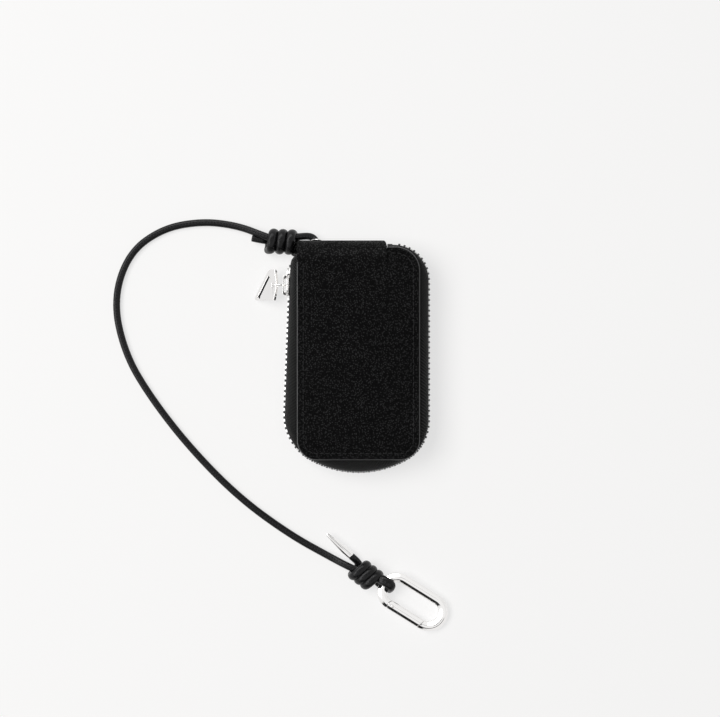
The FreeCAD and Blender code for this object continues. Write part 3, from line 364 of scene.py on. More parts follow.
def pebble_grain(name):
    """Rounded pebbles with creases between them, and a slow mottle."""
    values = {"Cells": 140.0, "Mottle size": 12.0}
    tree, given, result = shader_group(name, values, ("Height", "Tops", "Mottle"))
    wander_scale, wander_reach = 0.55, 0.006
    fine_scale, fine_height = 3.0, 0.22
    place, cells = given["Vector"], given["Cells"]
    wander = noise(tree, place, times(tree, cells, wander_scale))
    shifted = vector_maths(tree, "MULTIPLY_ADD", wander["Color"], (wander_reach,) * 3, place)
    pebbles = add(tree, "ShaderNodeTexVoronoi", feature="SMOOTH_F1")
    fill(tree, pebbles, Vector=shifted["Vector"], Scale=cells, Smoothness=0.35)
    round_top = maths(tree, "SUBTRACT", 1.0, pebbles.outputs["Distance"])
    fine = noise(tree, place, times(tree, cells, fine_scale), detail=3.0)
    slow = noise(tree, place, given["Mottle size"], detail=4.0, roughness=0.62)
    fill(tree, result, Height=maths(tree, "MULTIPLY_ADD", fine["Fac"], fine_height, round_top),
         Tops=ranged(tree, round_top, 0.46, 0.9), Mottle=ranged(tree, slow["Fac"], 0.36, 0.66))


def twill_weave(name):
    """Diagonal ribs crossed by fine threads, on a map of along and across."""
    tree, given, result = shader_group(name, {"Ribs": 90.0}, ("Height", "Ribs"))
    threads_to_rib, thread_height = 2.0, 0.6
    loose_scale, loose_height = 2.2, 0.6
    parts = split(tree, given["Vector"])
    turns = times(tree, given["Ribs"], math.tau)
    diagonal = maths(tree, "ADD", parts["X"], parts["Y"])
    rib = maths(tree, "SINE", times(tree, diagonal, turns))
    thread = maths(tree, "SINE", times(tree, parts["X"], times(tree, turns, threads_to_rib)))
    loose = noise(tree, given["Vector"], times(tree, given["Ribs"], loose_scale))
    height = maths(tree, "MULTIPLY_ADD", thread, thread_height, rib)
    height = maths(tree, "MULTIPLY_ADD", loose["Fac"], loose_height, height)
    fill(tree, result, Height=height, Ribs=ranged(tree, height, -0.4, 1.7))


def handling_marks(name):
    """Fine hairlines and smudges of metal that is handled."""
    tree, given, result = shader_group(name, {"Smudge size": 160.0, "Least": 0.06, "Most": 0.16},
                                       ("Roughness", "Height"))
    hairline_stretch, hairline_scale = (1.0, 9.0, 9.0), 3.0
    smudge = noise(tree, given["Vector"], given["Smudge size"], detail=4.0, roughness=0.6)
    stretched = add(tree, "ShaderNodeMapping")
    fill(tree, stretched, Vector=given["Vector"], Scale=hairline_stretch)
    fineness = times(tree, given["Smudge size"], hairline_scale)
    hairlines = noise(tree, stretched.outputs["Vector"], fineness, detail=3.0)
    fill(tree, result, Height=hairlines["Fac"],
         Roughness=ranged(tree, smudge["Fac"], 0.35, 0.7, given["Least"], given["Most"]))


# Finishes


def finish_of(name):
    """A new material with its surface shader and output."""
    material = bpy.data.materials.new(name)
    material.use_nodes = True
    tree = material.node_tree
    tree.nodes.clear()
    surface = add(tree, "ShaderNodeBsdfPrincipled")
    fill(tree, add(tree, "ShaderNodeOutputMaterial"), Surface=surface.outputs["BSDF"])
    return material, tree, surface


def raised(tree, surface, height, strength, depth):
    """Bump on a surface, with its depth in millimetres."""
    bump = add(tree, "ShaderNodeBump")
    fill(tree, bump, Strength=strength, Distance=depth * MM, Height=height)
    fill(tree, surface, Normal=bump.outputs["Normal"])


def leather_finish(colours):
    """Black pebbled leather, lightened on its pebble tops as painted highlights and darkened in its creases
    as painted shade, with a grey sealed edge where the leather is cut that is partly a painted highlight.
    """
    material, tree, surface = finish_of("pebbled_leather")
    grain = placed_group(tree, "Pebble grain", pebble_grain, flat_map(tree), Cells=120.0, Mottle_size=11.0)
    # Painted light: pebble tops are lightened as painted highlights and creases darkened as painted shade,
    # with the highlights dimmed at random by the slow mottle.
    mottled_highlights = between(tree, grain["Mottle"], 0.35, 1.0)
    hide_with_painted_light = shades(tree, times(tree, grain["Tops"], mottled_highlights), colours.leather, darkest=0.25, palest=2.4)
    edge = add(tree, "ShaderNodeAttribute", attribute_name="inset").outputs["Fac"]
    # The edge band takes the sealed edge colour, which is partly edge paint and partly a painted highlight.
    painted = fading(tree, edge, 0.3, 0.6)
    hide_rough, paint_rough = between(tree, grain["Mottle"], 0.66, 0.5), 0.42
    hide_shine, paint_shine = between(tree, grain["Tops"], 0.04, 0.5), 1.0
    fill(tree, surface, Base_Color=tinted(tree, painted, hide_with_painted_light, rgba(colours.sealed_edge_and_highlight)),
         Roughness=tinted(tree, painted, hide_rough, paint_rough, "FLOAT"),
         Coat_Weight=tinted(tree, painted, hide_shine, paint_shine, "FLOAT"),
         Coat_Roughness=0.5, Specular_IOR_Level=0.03)
    raised(tree, surface, grain["Height"], strength=1.0, depth=0.32)
    return material


def woven_finish(name, colour, coordinates, ribs, shade_and_highlight_tones, rough, specular, strength, depth,
                 sheen=0.0, patches=0.0):
    """Woven cloth or twisted thread, whose colour is darkened in its creases as painted shade and lightened
    on its ribs as painted highlight, and whose roughness changes from its creases to its ribs.
    """
    material, tree, surface = finish_of(name)
    weave = placed_group(tree, "Twill weave", twill_weave, coordinates(tree), Ribs=ribs)
    shade = weave["Ribs"]
    if patches:
        shade = times(tree, shade, noise(tree, coordinates(tree), patches, detail=4.0)["Fac"])
    # Painted shade in the creases and painted highlight on the ribs, between the darkest and palest shares of
    # the colour.
    fill(tree, surface, Base_Color=shades(tree, shade, colour, *shade_and_highlight_tones), Sheen_Weight=sheen,
         Roughness=between(tree, weave["Ribs"], *rough), Specular_IOR_Level=specular)
    raised(tree, surface, weave["Height"], strength, depth)
    return material


def tape_finish(colours):
    """Black twill tape."""
    return woven_finish("twill_tape", colours.tape, flat_map, ribs=78.0, shade_and_highlight_tones=(0.15, 2.4), rough=(0.9, 0.7),
                        specular=0.2, strength=0.8, depth=0.2, sheen=0.03)


def thread_finish(colours):
    """Waxed sewing thread with its twist."""
    return woven_finish("waxed_thread", colours.thread, object_place, ribs=2200.0, shade_and_highlight_tones=(0.5, 1.5),
                        rough=(0.7, 0.45), specular=0.25, strength=0.4, depth=0.05)


def lining_finish(colours):
    """Dense charcoal cotton lining."""
    return woven_finish("cotton_lining", colours.lining, flat_map, ribs=130.0, shade_and_highlight_tones=(0.6, 1.6),
                        rough=(0.95, 0.8), specular=0.2, strength=0.5, depth=0.1, patches=7.0)


def board_finish():
    """Pressed fibre board that stiffens the halves."""
    material, tree, surface = finish_of("fibre_board")
    dark, pale = (0.06, 0.05, 0.04), (0.16, 0.13, 0.10)
    fibres = noise(tree, object_place(tree), 900.0, detail=6.0, roughness=0.7)["Fac"]
    fill(tree, surface, Base_Color=tinted(tree, fibres, rgba(dark), rgba(pale)),
         Roughness=ranged(tree, fibres, 0.3, 0.7, 0.95, 0.8))
    raised(tree, surface, fibres, strength=0.4, depth=0.1)
    return material


def metal_finish(name, colour, least, most, smudges, hairlines):
    """Plated or plain metal, with smudges in its gloss and fine hairlines."""
    material, tree, surface = finish_of(name)
    tone_scale = 0.6
    place = object_place(tree)
    marks = placed_group(tree, "Handling marks", handling_marks, place,
                         Smudge_size=smudges, Least=least, Most=most)
    tone = noise(tree, place, smudges * tone_scale)
    fill(tree, surface, Base_Color=shades(tree, tone["Fac"], colour, darkest=0.93, palest=1.0),
         Roughness=marks["Roughness"], Metallic=1.0)
    raised(tree, surface, marks["Height"], hairlines, depth=0.01)
    return material


def metal(name):
    """The named metal finish, made once."""
    if name in bpy.data.materials:
        return bpy.data.materials[name]
    colour, *gloss = METALS[name]
    return metal_finish(name, colour or bpy.context.scene.key_case_colours.plating, *gloss)


def cord_finish(colours):
    """Round stitched leather cord: fine grain, a seam with small stitches, and shine on its skin."""
    material, tree, surface = finish_of("cord_leather")
    seam_place, seam_core, seam_edge, seam_depth = 0.0487, 0.0012, 0.0042, -1.4
    stitch_turns, thread_share, thread_tone = 420.0, 0.6, 6.0
    flat = flat_map(tree)
    grain = placed_group(tree, "Pebble grain", pebble_grain, flat, Cells=300.0, Mottle_size=40.0)
    parts = split(tree, flat)
    from_seam = maths(tree, "ABSOLUTE", maths(tree, "SUBTRACT", parts["Y"], seam_place))
    seam = fading(tree, from_seam, seam_core, seam_edge)
    dash = maths(tree, "SINE", times(tree, parts["X"], stitch_turns))
    stitched = times(tree, seam, ranged(tree, dash, -0.3, 0.3))
    skin = shades(tree, grain["Mottle"], colours.cord, darkest=0.7, palest=1.5)
    thread = rgba(colours.cord, thread_tone)
    fill(tree, surface, Base_Color=tinted(tree, times(tree, stitched, thread_share), skin, thread),
         Roughness=between(tree, grain["Mottle"], 0.34, 0.24), Specular_IOR_Level=0.22)
    height = maths(tree, "MULTIPLY_ADD", seam, seam_depth, grain["Height"])
    raised(tree, surface, height, strength=0.35, depth=0.08)
    return material


# Meshes, whose parts are pairs of places and faces


def piece_from(name, part, material, angle=35.0, uvs=None):
    """A mesh object at the origin, from places in millimetres; uvs are given for each vertex."""
    vertices, faces = part
    mesh = bpy.data.meshes.new(name)
    mesh.from_pydata([Vector(vertex) * MM for vertex in vertices], [], faces)
    mesh.materials.append(material)
    if uvs is not None:
        layer = mesh.uv_layers.new(name="flat")
        for loop in mesh.loops:
            layer.data[loop.index].uv = uvs[loop.vertex_index]
    smoothed(mesh, angle)
    mesh.validate()
    piece = bpy.data.objects.new(name, mesh)
    bpy.context.scene.collection.objects.link(piece)
    return piece


def smoothed(mesh, angle):
    """Smooth faces, with edges kept where they turn by more than an angle."""
    mesh.shade_smooth()
    mesh.set_sharp_from_angle(angle=math.radians(angle))


def settle(piece):
    """Turns the piece with its modifiers into a plain mesh."""
    graph = bpy.context.evaluated_depsgraph_get()
    plain = bpy.data.meshes.new_from_object(piece.evaluated_get(graph))
    piece.modifiers.clear()
    old = piece.data
    piece.data = plain
    plain.name = piece.name
    bpy.data.meshes.remove(old)
    return piece


def remove_helper(helper):
    mesh = helper.data
    bpy.data.objects.remove(helper)
    bpy.data.meshes.remove(mesh)


def eased(piece, width, segments=3, angle=32.0):
    """Rounds the sharp edges."""
    bevel = piece.modifiers.new("Eased edges", "BEVEL")
    bevel.width = width * MM
    bevel.segments = segments
    bevel.limit_method = "ANGLE"
    bevel.angle_limit = math.radians(angle)
    bevel.harden_normals = True
    return settle(piece)


def joined(parts):
    vertices, faces = [], []
    for part_vertices, part_faces in parts:
        start = len(vertices)
        vertices.extend(part_vertices)
        faces.extend([tuple(index + start for index in face) for face in part_faces])
    return vertices, faces


def moved(part, matrix):
    return [matrix @ Vector(vertex) for vertex in part[0]], part[1]


def axes_matrix(origin, x_axis, y_axis, z_axis):
    matrix = Matrix((x_axis, y_axis, z_axis)).transposed().to_4x4()
    matrix.translation = origin
    return matrix


def skinned(rings, closed=False):
    """Skin over rings of places. An open one has a cap at each end, and a closed one joins its ends."""
    sides, levels = len(rings[0]), len(rings)
    vertices = [spot for ring in rings for spot in ring]
    faces = []
    for level in range(levels if closed else levels - 1):
        low, high = level * sides, (level + 1) % levels * sides
        for side in range(sides):
            following = (side + 1) % sides
            faces.append((low + side, low + following, high + following, high + side))
    if not closed:
        faces.append(tuple(reversed(range(sides))))
        faces.append(tuple(range(len(vertices) - sides, len(vertices))))
    return vertices, faces


def prism(outline, low, high):
    """A plate: an anticlockwise flat outline drawn up from low to high along z."""
    return skinned([[Vector((x, y, z)) for x, y in outline] for z in (low, high)])


def inside(point, loop):
    hit = False
    for (ax, ay), (bx, by) in zip(loop, loop[1:] + loop[:1]):
        if (ay > point[1]) != (by > point[1]) and point[0] < ax + (bx - ax) * (point[1] - ay) / (by - ay):
            hit = not hit
    return hit


def loop_links(start, count):
    """Pairs of neighbours round a loop of numbered points."""
    return [(start + index, start + (index + 1) % count) for index in range(count)]


def pierced_plate(outline, holes, low, high):
    """A plate with holes through it. The outline and the holes are anticlockwise."""
    points, edges = [], []
    for loop in [outline] + holes:
        edges.extend(loop_links(len(points), len(loop)))
        points.extend([Vector(point) for point in loop])
    flat, _, triangles, _, _, _ = delaunay_2d_cdt(points, edges, [], 1, 1e-5)
    kept = []
    for triangle in triangles:
        middle = sum((flat[index] for index in triangle), Vector((0.0, 0.0))) / len(triangle)
        if not any(inside(middle, hole) for hole in holes):
            kept.append(triangle)
    count = len(flat)
    vertices = [Vector((x, y, z)) for z in (low, high) for x, y in flat]
    faces = [tuple(reversed(triangle)) for triangle in kept]
    faces.extend([tuple(index + count for index in triangle) for triangle in kept])
    for first, second in edges:
        wall = (first, second, count + second, count + first)
        faces.append(wall if first < len(outline) else tuple(reversed(wall)))
    return vertices, faces


def circle(centre, radius, steps):
    return [(centre[0] + radius * math.cos(math.tau * step / steps),
             centre[1] + radius * math.sin(math.tau * step / steps)) for step in range(steps)]


def lathe(profile, steps=48):
    """A turned piece about z, from (radius, height) pairs walked up the outside.
    Ends at radius 0 are poles."""
    vertices, rings, faces = [], [], []
    for radius, height in profile:
        if radius == 0.0:
            rings.append([len(vertices)] * steps)
            vertices.append(Vector((0.0, 0.0, height)))
            continue
        rings.append(list(range(len(vertices), len(vertices) + steps)))
        for step in range(steps):
            turn = math.tau * step / steps
            vertices.append(Vector((radius * math.cos(turn), radius * math.sin(turn), height)))
    for low, high in zip(rings, rings[1:]):
        for step in range(steps):
            following = (step + 1) % steps
            corners = [low[step], low[following], high[following], high[step]]
            face = tuple(dict.fromkeys(corners))
            if len(face) > 2:
                faces.append(face)
    return vertices, faces


def axis_matrix(origin, axis):
    """Places a turned piece: z along the axis."""
    side = axis.orthogonal().normalized()
    return axes_matrix(origin, side, axis.cross(side), axis)


def finished(piece, body, slot, *nodes):
    """The piece rides on a body and stands for solids, which it hides. The slot is not used."""
    if nodes:
        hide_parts(*nodes)
    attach(piece, body)
    return piece


def dress(material, slot, *nodes):
    """Gives solids that are shown as they are a finish of their own."""
    for node in nodes:
        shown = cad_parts[node]
        shown.data.materials.clear()
        shown.data.materials.append(material)


# Flat paths round the case, as runs of (point, outward) pairs walked anticlockwise from the fold's left end


def line_run(start, end, count):
    heading = (end - start).normalized()
    out = Vector((heading.y, -heading.x))
    return [(start.lerp(end, step / (count - 1)), out) for step in range(count)]


def arc_run(centre, start, end, count):
    spoke = start - centre
    sweep = (math.atan2(*(end - centre).yx) - math.atan2(*spoke.yx)) % math.tau
    run = []
    for step in range(count):
        turned = Matrix.Rotation(sweep * step / (count - 1), 2) @ spoke
        run.append((centre + turned, turned.normalized()))
    return run


RUN_COUNTS = (58, 16, 30, 16, 56, 16, 4)


def panel_runs():
    left, right = -HALF_WIDTH, HALF_WIDTH
    corner_x = HALF_WIDTH - BOTTOM_RADIUS
    corner_y = BOTTOM_Y + BOTTOM_RADIUS
    top_x = HALF_WIDTH - TOP_RADIUS
    top_y = SHOULDER_Y - TOP_RADIUS
    places = [Vector((left, SPINE_CENTRE_Y)), Vector((left, corner_y)), Vector((-corner_x, BOTTOM_Y)),
              Vector((corner_x, BOTTOM_Y)), Vector((right, corner_y)), Vector((right, top_y)),
              Vector((top_x, SHOULDER_Y)), Vector((SHOULDER_X, SHOULDER_Y))]
    centres = {1: Vector((-corner_x, corner_y)), 3: Vector((corner_x, corner_y)), 5: Vector((top_x, top_y))}
    runs = []
    for index, count in enumerate(RUN_COUNTS):
        start, end = places[index], places[index + 1]
        if index in centres:
            runs.append(arc_run(centres[index], start, end, count))
        else:
            runs.append(line_run(start, end, count))
    return runs


def rounding(corner, before, after, radius):
    """Left-hand fillet at a corner: its start, end and centre."""
    into = (corner - before).normalized()
    away = (after - corner).normalized()
    reach = radius * math.tan(into.angle(away) / 2)
    start = corner - into * reach
    return start, corner + away * reach, start + Vector((-into.y, into.x)) * radius


def chain_runs():
    """The chain of teeth: down the left side, round a corner, along the sagging foot, and up and over."""
    sag_radius = (CHAIN_HALF_CHORD ** 2 + CHAIN_SAG ** 2) / (2 * CHAIN_SAG)
    sag_centre = Vector((0.0, CHAIN_SAG_Y + sag_radius))
    sag_left = Vector((-CHAIN_HALF_CHORD, CHAIN_SAG_Y + CHAIN_SAG))
    sag_right = Vector((CHAIN_HALF_CHORD, CHAIN_SAG_Y + CHAIN_SAG))
    tilt = math.asin(CHAIN_HALF_CHORD / sag_radius)
    into_sag = Vector((math.cos(tilt), -math.sin(tilt)))
    out_of_sag = Vector((math.cos(tilt), math.sin(tilt)))
    down_left = (CHAIN_LEFT_FOOT - CHAIN_LEFT_TOP).normalized()
    gap = sag_left - CHAIN_LEFT_TOP
    along = (gap.x * into_sag.y - gap.y * into_sag.x) / (down_left.x * into_sag.y - down_left.y * into_sag.x)
    left_corner = CHAIN_LEFT_TOP + down_left * along
    left_radius = (sag_left - left_corner).length / math.tan(down_left.angle(into_sag) / 2)
    right_reach = (CHAIN_RIGHT_X - CHAIN_HALF_CHORD) / math.cos(tilt)
    right_corner = sag_right + out_of_sag * right_reach
    right_radius = right_reach / math.tan(out_of_sag.angle(Vector((0.0, 1.0))) / 2)
    top_corner = Vector((CHAIN_RIGHT_X, CHAIN_TOP_Y))
    top_end = Vector((SHOULDER_X, CHAIN_TOP_Y))
    left_start, left_end, left_centre = rounding(left_corner, CHAIN_LEFT_TOP, sag_left, left_radius)
    right_start, right_end, right_centre = rounding(right_corner, sag_right, top_corner, right_radius)
    top_start, top_finish, top_centre = rounding(top_corner, right_corner, top_end, CHAIN_TOP_RADIUS)
    counts = iter(RUN_COUNTS)
    return [line_run(CHAIN_LEFT_TOP, left_start, next(counts)),
            arc_run(left_centre, left_start, left_end, next(counts)),
            arc_run(sag_centre, sag_left, sag_right, next(counts)),
            arc_run(right_centre, right_start, right_end, next(counts)),
            line_run(right_end, top_start, next(counts)),
            arc_run(top_centre, top_start, top_finish, next(counts)),
            line_run(top_finish, top_end, next(counts))]


def walked(runs):
    """The runs as one list of stations, without the doubled joints."""
    stations = list(runs[0])
    for run in runs[1:]:
        stations.extend(run[1:])
    return stations


def inset_line(runs, inset):
    return [point - out * inset for point, out in walked(runs)]


# Soft shells: a flat outline filled with triangles, wrapped into place as an outer and an inner skin


def distances(points, line, closed):
    """Distance of each flat point from a line of points."""
    starts = np.array([tuple(point) for point in line])
    ends = np.roll(starts, -1, axis=0)
    if not closed:
        starts, ends = starts[:-1], ends[:-1]
    spans = ends - starts
    sizes = np.maximum((spans ** 2).sum(1), 1e-12)
    nearest = np.full(len(points), np.inf)
    for start, span, size in zip(starts, spans, sizes):
        share = np.clip(((points - start) @ span) / size, 0.0, 1.0)
        gap = points - (start + share[:, None] * span)
        nearest = np.minimum(nearest, (gap ** 2).sum(1))
    return np.sqrt(nearest)


def nearest_of(points, lines, far=np.inf):
    """Distance of each flat point from the nearest of some open lines."""
    gaps = np.full(len(points), far)
    for line in lines:
        gaps = np.minimum(gaps, distances(points, line, False))
    return gaps


def drawn_in(loop, inset):
    """The loop moved inwards."""
    turned_back, least_reach = 0.2, 0.45
    moved_in = []
    for before, at, after in zip(loop[-1:] + loop[:-1], loop, loop[1:] + loop[:1]):
        into = (at - before).normalized()
        away = (after - at).normalized()
        normal = Vector((-into.y - away.y, into.x + away.x))
        if normal.length < turned_back:
            normal = Vector((-into.y, into.x))
        normal.normalize()
        reach = max(least_reach, normal.dot(Vector((-into.y, into.x))))
        moved_in.append(at + normal * (inset / reach))
    return moved_in


def flat_fill(outline, guides, spacing, edge):
    """Points and triangles in a flat outline.
    Its edge has rings of points in it, and its guide lines have points on them."""
    edge_rings = (0.0, 0.12, 0.36, 0.68, 1.0)
    clear_of_edge, clear_of_guide = 1.7, 0.45
    points, edges = [], []
    for share in edge_rings:
        edges.extend(loop_links(len(points), len(outline)))
        points.extend(drawn_in(outline, share * edge) if share else outline)
    for guide in guides:
        edges.extend(loop_links(len(points), len(guide))[:-1])
        points.extend(guide)
    low_u, high_u = min(p.x for p in outline), max(p.x for p in outline)
    low_v, high_v = min(p.y for p in outline), max(p.y for p in outline)
    grid = []
    for row in range(int((high_v - low_v) / spacing) + 1):
        offset = 0.5 if row % 2 else 0.0
        for column in range(int((high_u - low_u) / spacing) + 1):
            grid.append((low_u + (column + offset) * spacing, low_v + row * spacing))
    grid = np.array(grid)
    keep = distances(grid, outline, True) > edge * clear_of_edge
    keep &= nearest_of(grid, guides) > spacing * clear_of_guide
    loop = [tuple(point) for point in outline]
    points.extend([Vector(spot) for spot in grid[keep] if inside(spot, loop)])
    flat, _, triangles, _, _, _ = delaunay_2d_cdt(points, edges, [], 1, 1e-4)
    return np.array([tuple(point) for point in flat]), triangles


def soft_shell(name, outline, guides, spacing, edge, place, material, sealed=()):
    """A closed soft sheet. place(u, v, inset, guide, side) gives the spot of a flat point on side 0 or 1,
    where inset is its distance from the outline and guide its distance from the guide lines.
    The inset attribute is the distance from the sealed lines."""
    rim_width, far_from_sealed = 1e-3, 9.0
    spots, triangles = flat_fill(outline, guides, spacing, edge)
    inset = distances(spots, outline, True)
    guide_gap = nearest_of(spots, guides)
    from_sealed = nearest_of(spots, sealed, far_from_sealed)
    vertices = [place(u, v, d, g, 0) for (u, v), d, g in zip(spots, inset, guide_gap)]
    inner = list(range(len(spots)))
    for index, ((u, v), d, g) in enumerate(zip(spots, inset, guide_gap)):
        if d >= rim_width:
            inner[index] = len(vertices)
            vertices.append(place(u, v, d, g, 1))
    faces = [tuple(triangle) for triangle in triangles]
    faces.extend([tuple(inner[index] for index in reversed(triangle)) for triangle in triangles])
    depth = [0.0] * len(vertices)
    uvs = [(0.0, 0.0)] * len(vertices)
    for index, other in enumerate(inner):
        depth[index] = depth[other] = float(from_sealed[index])
        uvs[index] = uvs[other] = (spots[index][0] * MAP_PER_MM, spots[index][1] * MAP_PER_MM)
    piece = piece_from(name, (vertices, faces), material, 60.0, uvs)
    attribute = piece.data.attributes.new("inset", "FLOAT", "POINT")
    attribute.data.foreach_set("value", depth)
    return piece


def quarter_round(inset, radius):
    """How far a rounded edge drops below its face."""
    short = radius - min(inset, radius)
    return radius - math.sqrt(max(0.0, radius ** 2 - short ** 2))


def to_pattern(point, half):
    """A panel point on the flat pattern, whose fold is at v = 0; the front half is below it."""
    return Vector((point.x, half * (SPINE_RUN + SPINE_CENTRE_Y - point.y)))


def front_swell(crown, x, y):
    """How far the front panel swells: most in its middle, and nothing at its sides, its foot and the fold."""
    along = min(1.0, max(0.0, (y - BOTTOM_Y) / (SPINE_CENTRE_Y - BOTTOM_Y)))
    return crown * 4 * along * (1 - along) * max(0.0, 1 - (x / HALF_WIDTH) ** 2)


def panel_rim():
    return [point for point, out in walked(panel_runs())]


def cover_outline():
    """The cover laid flat: front half, right side of the fold, back half and left side of the fold."""
    steps = 28
    slit_stations = (-5.0, -2.5, 0.0)
    dip_share = 0.45
    edge_x = SLIT_X - SLIT_HALF
    rim = panel_rim()
    rim[-1] = Vector((SLIT_X + SLIT_HALF, SHOULDER_Y))
    front = [to_pattern(point, -1) for point in rim]
    front += [Vector((SLIT_X + SLIT_HALF, -SPINE_RUN - shift)) for shift in slit_stations]
    front += [Vector((SLIT_X, -SPINE_RUN - SLIT_HALF)), Vector((edge_x, -SPINE_RUN))]
    back = [Vector((point.x, -point.y)) for point in reversed(front)]
    spine, left = [], []
    for step in range(1, steps):
        v = -SPINE_RUN + 2 * SPINE_RUN * step / steps
        nearness = max(0.0, 1.0 - abs(v) / (dip_share * SPINE_RUN))
        spine.append(Vector((edge_x - (edge_x - SPINE_FOLD_X) * nearness, v)))
        left.append(Vector((-HALF_WIDTH, SPINE_RUN - 2 * SPINE_RUN * step / steps)))
    return front + spine + back + left


class KEYCASE_OT_cover(bpy.types.Operator):
    """Leather cover in one piece: front panel, rounded fold and back panel"""

    bl_idname = "keycase.cover"
    bl_label = "Leather cover"

    def execute(self, context):
        sizes = context.scene.key_case_sizes
        thickness = sizes.leather_thickness / MM
        crown = sizes.front_crown / MM
        stitch = sizes.stitch_inset / MM
        slit_top = SPINE_RUN - (SHOULDER_Y - SPINE_CENTRE_Y)
        spacing, groove_depth, groove_width, groove_side = 1.5, 0.2, 0.38, 0.42
        edge_radius, slit_radius, rim_width = thickness / 2, 0.15, 1e-3

        def place(u, v, inset, guide, side):
            run = abs(v)
            by_slit = abs(u - SLIT_X) < edge_radius and slit_top < run < SPINE_RUN + edge_radius
            edge_dip = quarter_round(inset, slit_radius if by_slit and inset > rim_width else edge_radius)
            groove = groove_depth * math.exp(-(guide / groove_width) ** 2)
            depth = edge_dip + groove if side == 0 else thickness - edge_dip
            reach = MIDDLE_Z - depth
            if u < SLIT_X and run < SPINE_RUN:
                turn = run / MIDDLE_Z
                y = SPINE_CENTRE_Y + reach * math.cos(turn)
                z = reach * math.sin(turn)
            else:
                y = SPINE_CENTRE_Y + SPINE_RUN - run
                z = reach
            if v > 0:
                return Vector((u, y, MIDDLE_Z - z))
            return Vector((u, y, MIDDLE_Z + z + front_swell(crown, u, y)))

        guides, sealed = [], []
        for half in (-1, 1):
            sealed.append([to_pattern(point, half) for point in panel_rim()])
            for shift in (-groove_side, 0.0, groove_side):
                guides.append([to_pattern(point, half) for point in inset_line(panel_runs(), stitch + shift)])
        leather = leather_finish(context.scene.key_case_colours)
        cover = soft_shell("leather_cover", cover_outline(), guides, spacing, edge_radius, place,
                           leather, sealed)
        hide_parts("front_panel", "back_panel")
        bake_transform(cover)
        return {"FINISHED"}


# Shapes set along a path by geometry nodes


def along_path_tree(name):
    """Sets one small shape along a path at an even pitch, facing the way the path runs."""
    tree = bpy.data.node_groups.new(name, "GeometryNodeTree")
    sockets = {"Geometry": "NodeSocketGeometry", "Shape": "NodeSocketObject", "First": "NodeSocketFloat",
               "Pitch": "NodeSocketFloat", "Count": "NodeSocketInt", "Material": "NodeSocketMaterial"}
    for label, kind in sockets.items():
        tree.interface.new_socket(label, in_out="INPUT", socket_type=kind)
    tree.interface.new_socket("Geometry", in_out="OUTPUT", socket_type="NodeSocketGeometry")
    given = add(tree, "NodeGroupInput").outputs
    spans = maths(tree, "SUBTRACT", given["Count"], 1.0)
    last = maths(tree, "MULTIPLY_ADD", spans, given["Pitch"], given["First"])
    curve = add(tree, "GeometryNodeMeshToCurve")
    trim = add(tree, "GeometryNodeTrimCurve", mode="LENGTH")
    evened = add(tree, "GeometryNodeResampleCurve", mode="COUNT")
    shape = add(tree, "GeometryNodeObjectInfo")
    heading = add(tree, "GeometryNodeInputTangent")
    facing = add(tree, "FunctionNodeAlignRotationToVector", axis="X", pivot_axis="Z")
    placed = add(tree, "GeometryNodeInstanceOnPoints")
    real = add(tree, "GeometryNodeRealizeInstances")
    painted = add(tree, "GeometryNodeSetMaterial")
    fill(tree, curve, Mesh=given["Geometry"])
    fill(tree, trim, Curve=curve.outputs["Curve"])
    for label, value in (("Start", given["First"]), ("End", last)):
        lengths = [socket for socket in trim.inputs if socket.name == label and socket.enabled]
        feed(tree, lengths[-1], value)
    fill(tree, evened, Curve=trim.outputs["Curve"], Count=given["Count"])
    fill(tree, shape, Object=given["Shape"])
    fill(tree, facing, Vector=heading.outputs["Tangent"])
    fill(tree, placed, Points=evened.outputs["Curve"], Instance=shape.outputs["Geometry"],
         Rotation=facing.outputs["Rotation"])
    fill(tree, real, Geometry=placed.outputs["Instances"])
    fill(tree, painted, Geometry=real.outputs["Geometry"], Material=given["Material"])
    fill(tree, add(tree, "NodeGroupOutput"), Geometry=painted.outputs["Geometry"])


def set_along(name, path, shape, first, pitch, count, material, angle):
    """One mesh of like shapes along a path of places in millimetres."""
    mesh = bpy.data.meshes.new(name)
    links = [(index, index + 1) for index in range(len(path) - 1)]
    mesh.from_pydata([Vector(point) * MM for point in path], links, [])
    piece = bpy.data.objects.new(name, mesh)
    bpy.context.scene.collection.objects.link(piece)
    tree = shared_group("Set along a path", along_path_tree)
    modifier = piece.modifiers.new("Along the path", "NODES")
    modifier.node_group = tree
    settings = {"Shape": shape, "First": first * MM, "Pitch": pitch * MM, "Count": count,
                "Material": material}
    for item in tree.interface.items_tree:
        if item.in_out == "INPUT" and item.name in settings:
            modifier[item.identifier] = settings[item.name]
    piece.update_tag()
    bpy.context.view_layer.update()
    settle(piece)
    smoothed(piece.data, angle)
    remove_helper(shape)
    return piece


def length_along(path):
    return sum((after - at).length for at, after in zip(path, path[1:]))


def stitch_shape(length, width):
    """One stitch: a short strand whose ends dive into the leather."""
    sides = 8
    levels = ((0.5, 0.55, -0.5), (0.36, 0.9, -0.12), (0.0, 1.0, 0.05), (-0.36, 0.9, -0.12),
              (-0.5, 0.55, -0.5))
    rings = []
    for along, thick, lift in levels:
        ring = []
        for side in range(sides):
            turn = math.tau * side / sides
            ring.append(Vector((along * length, math.cos(turn) * width / 2 * thick,
                                (math.sin(turn) * thick / 2 + lift) * width)))
        rings.append(ring)
    return skinned(rings)


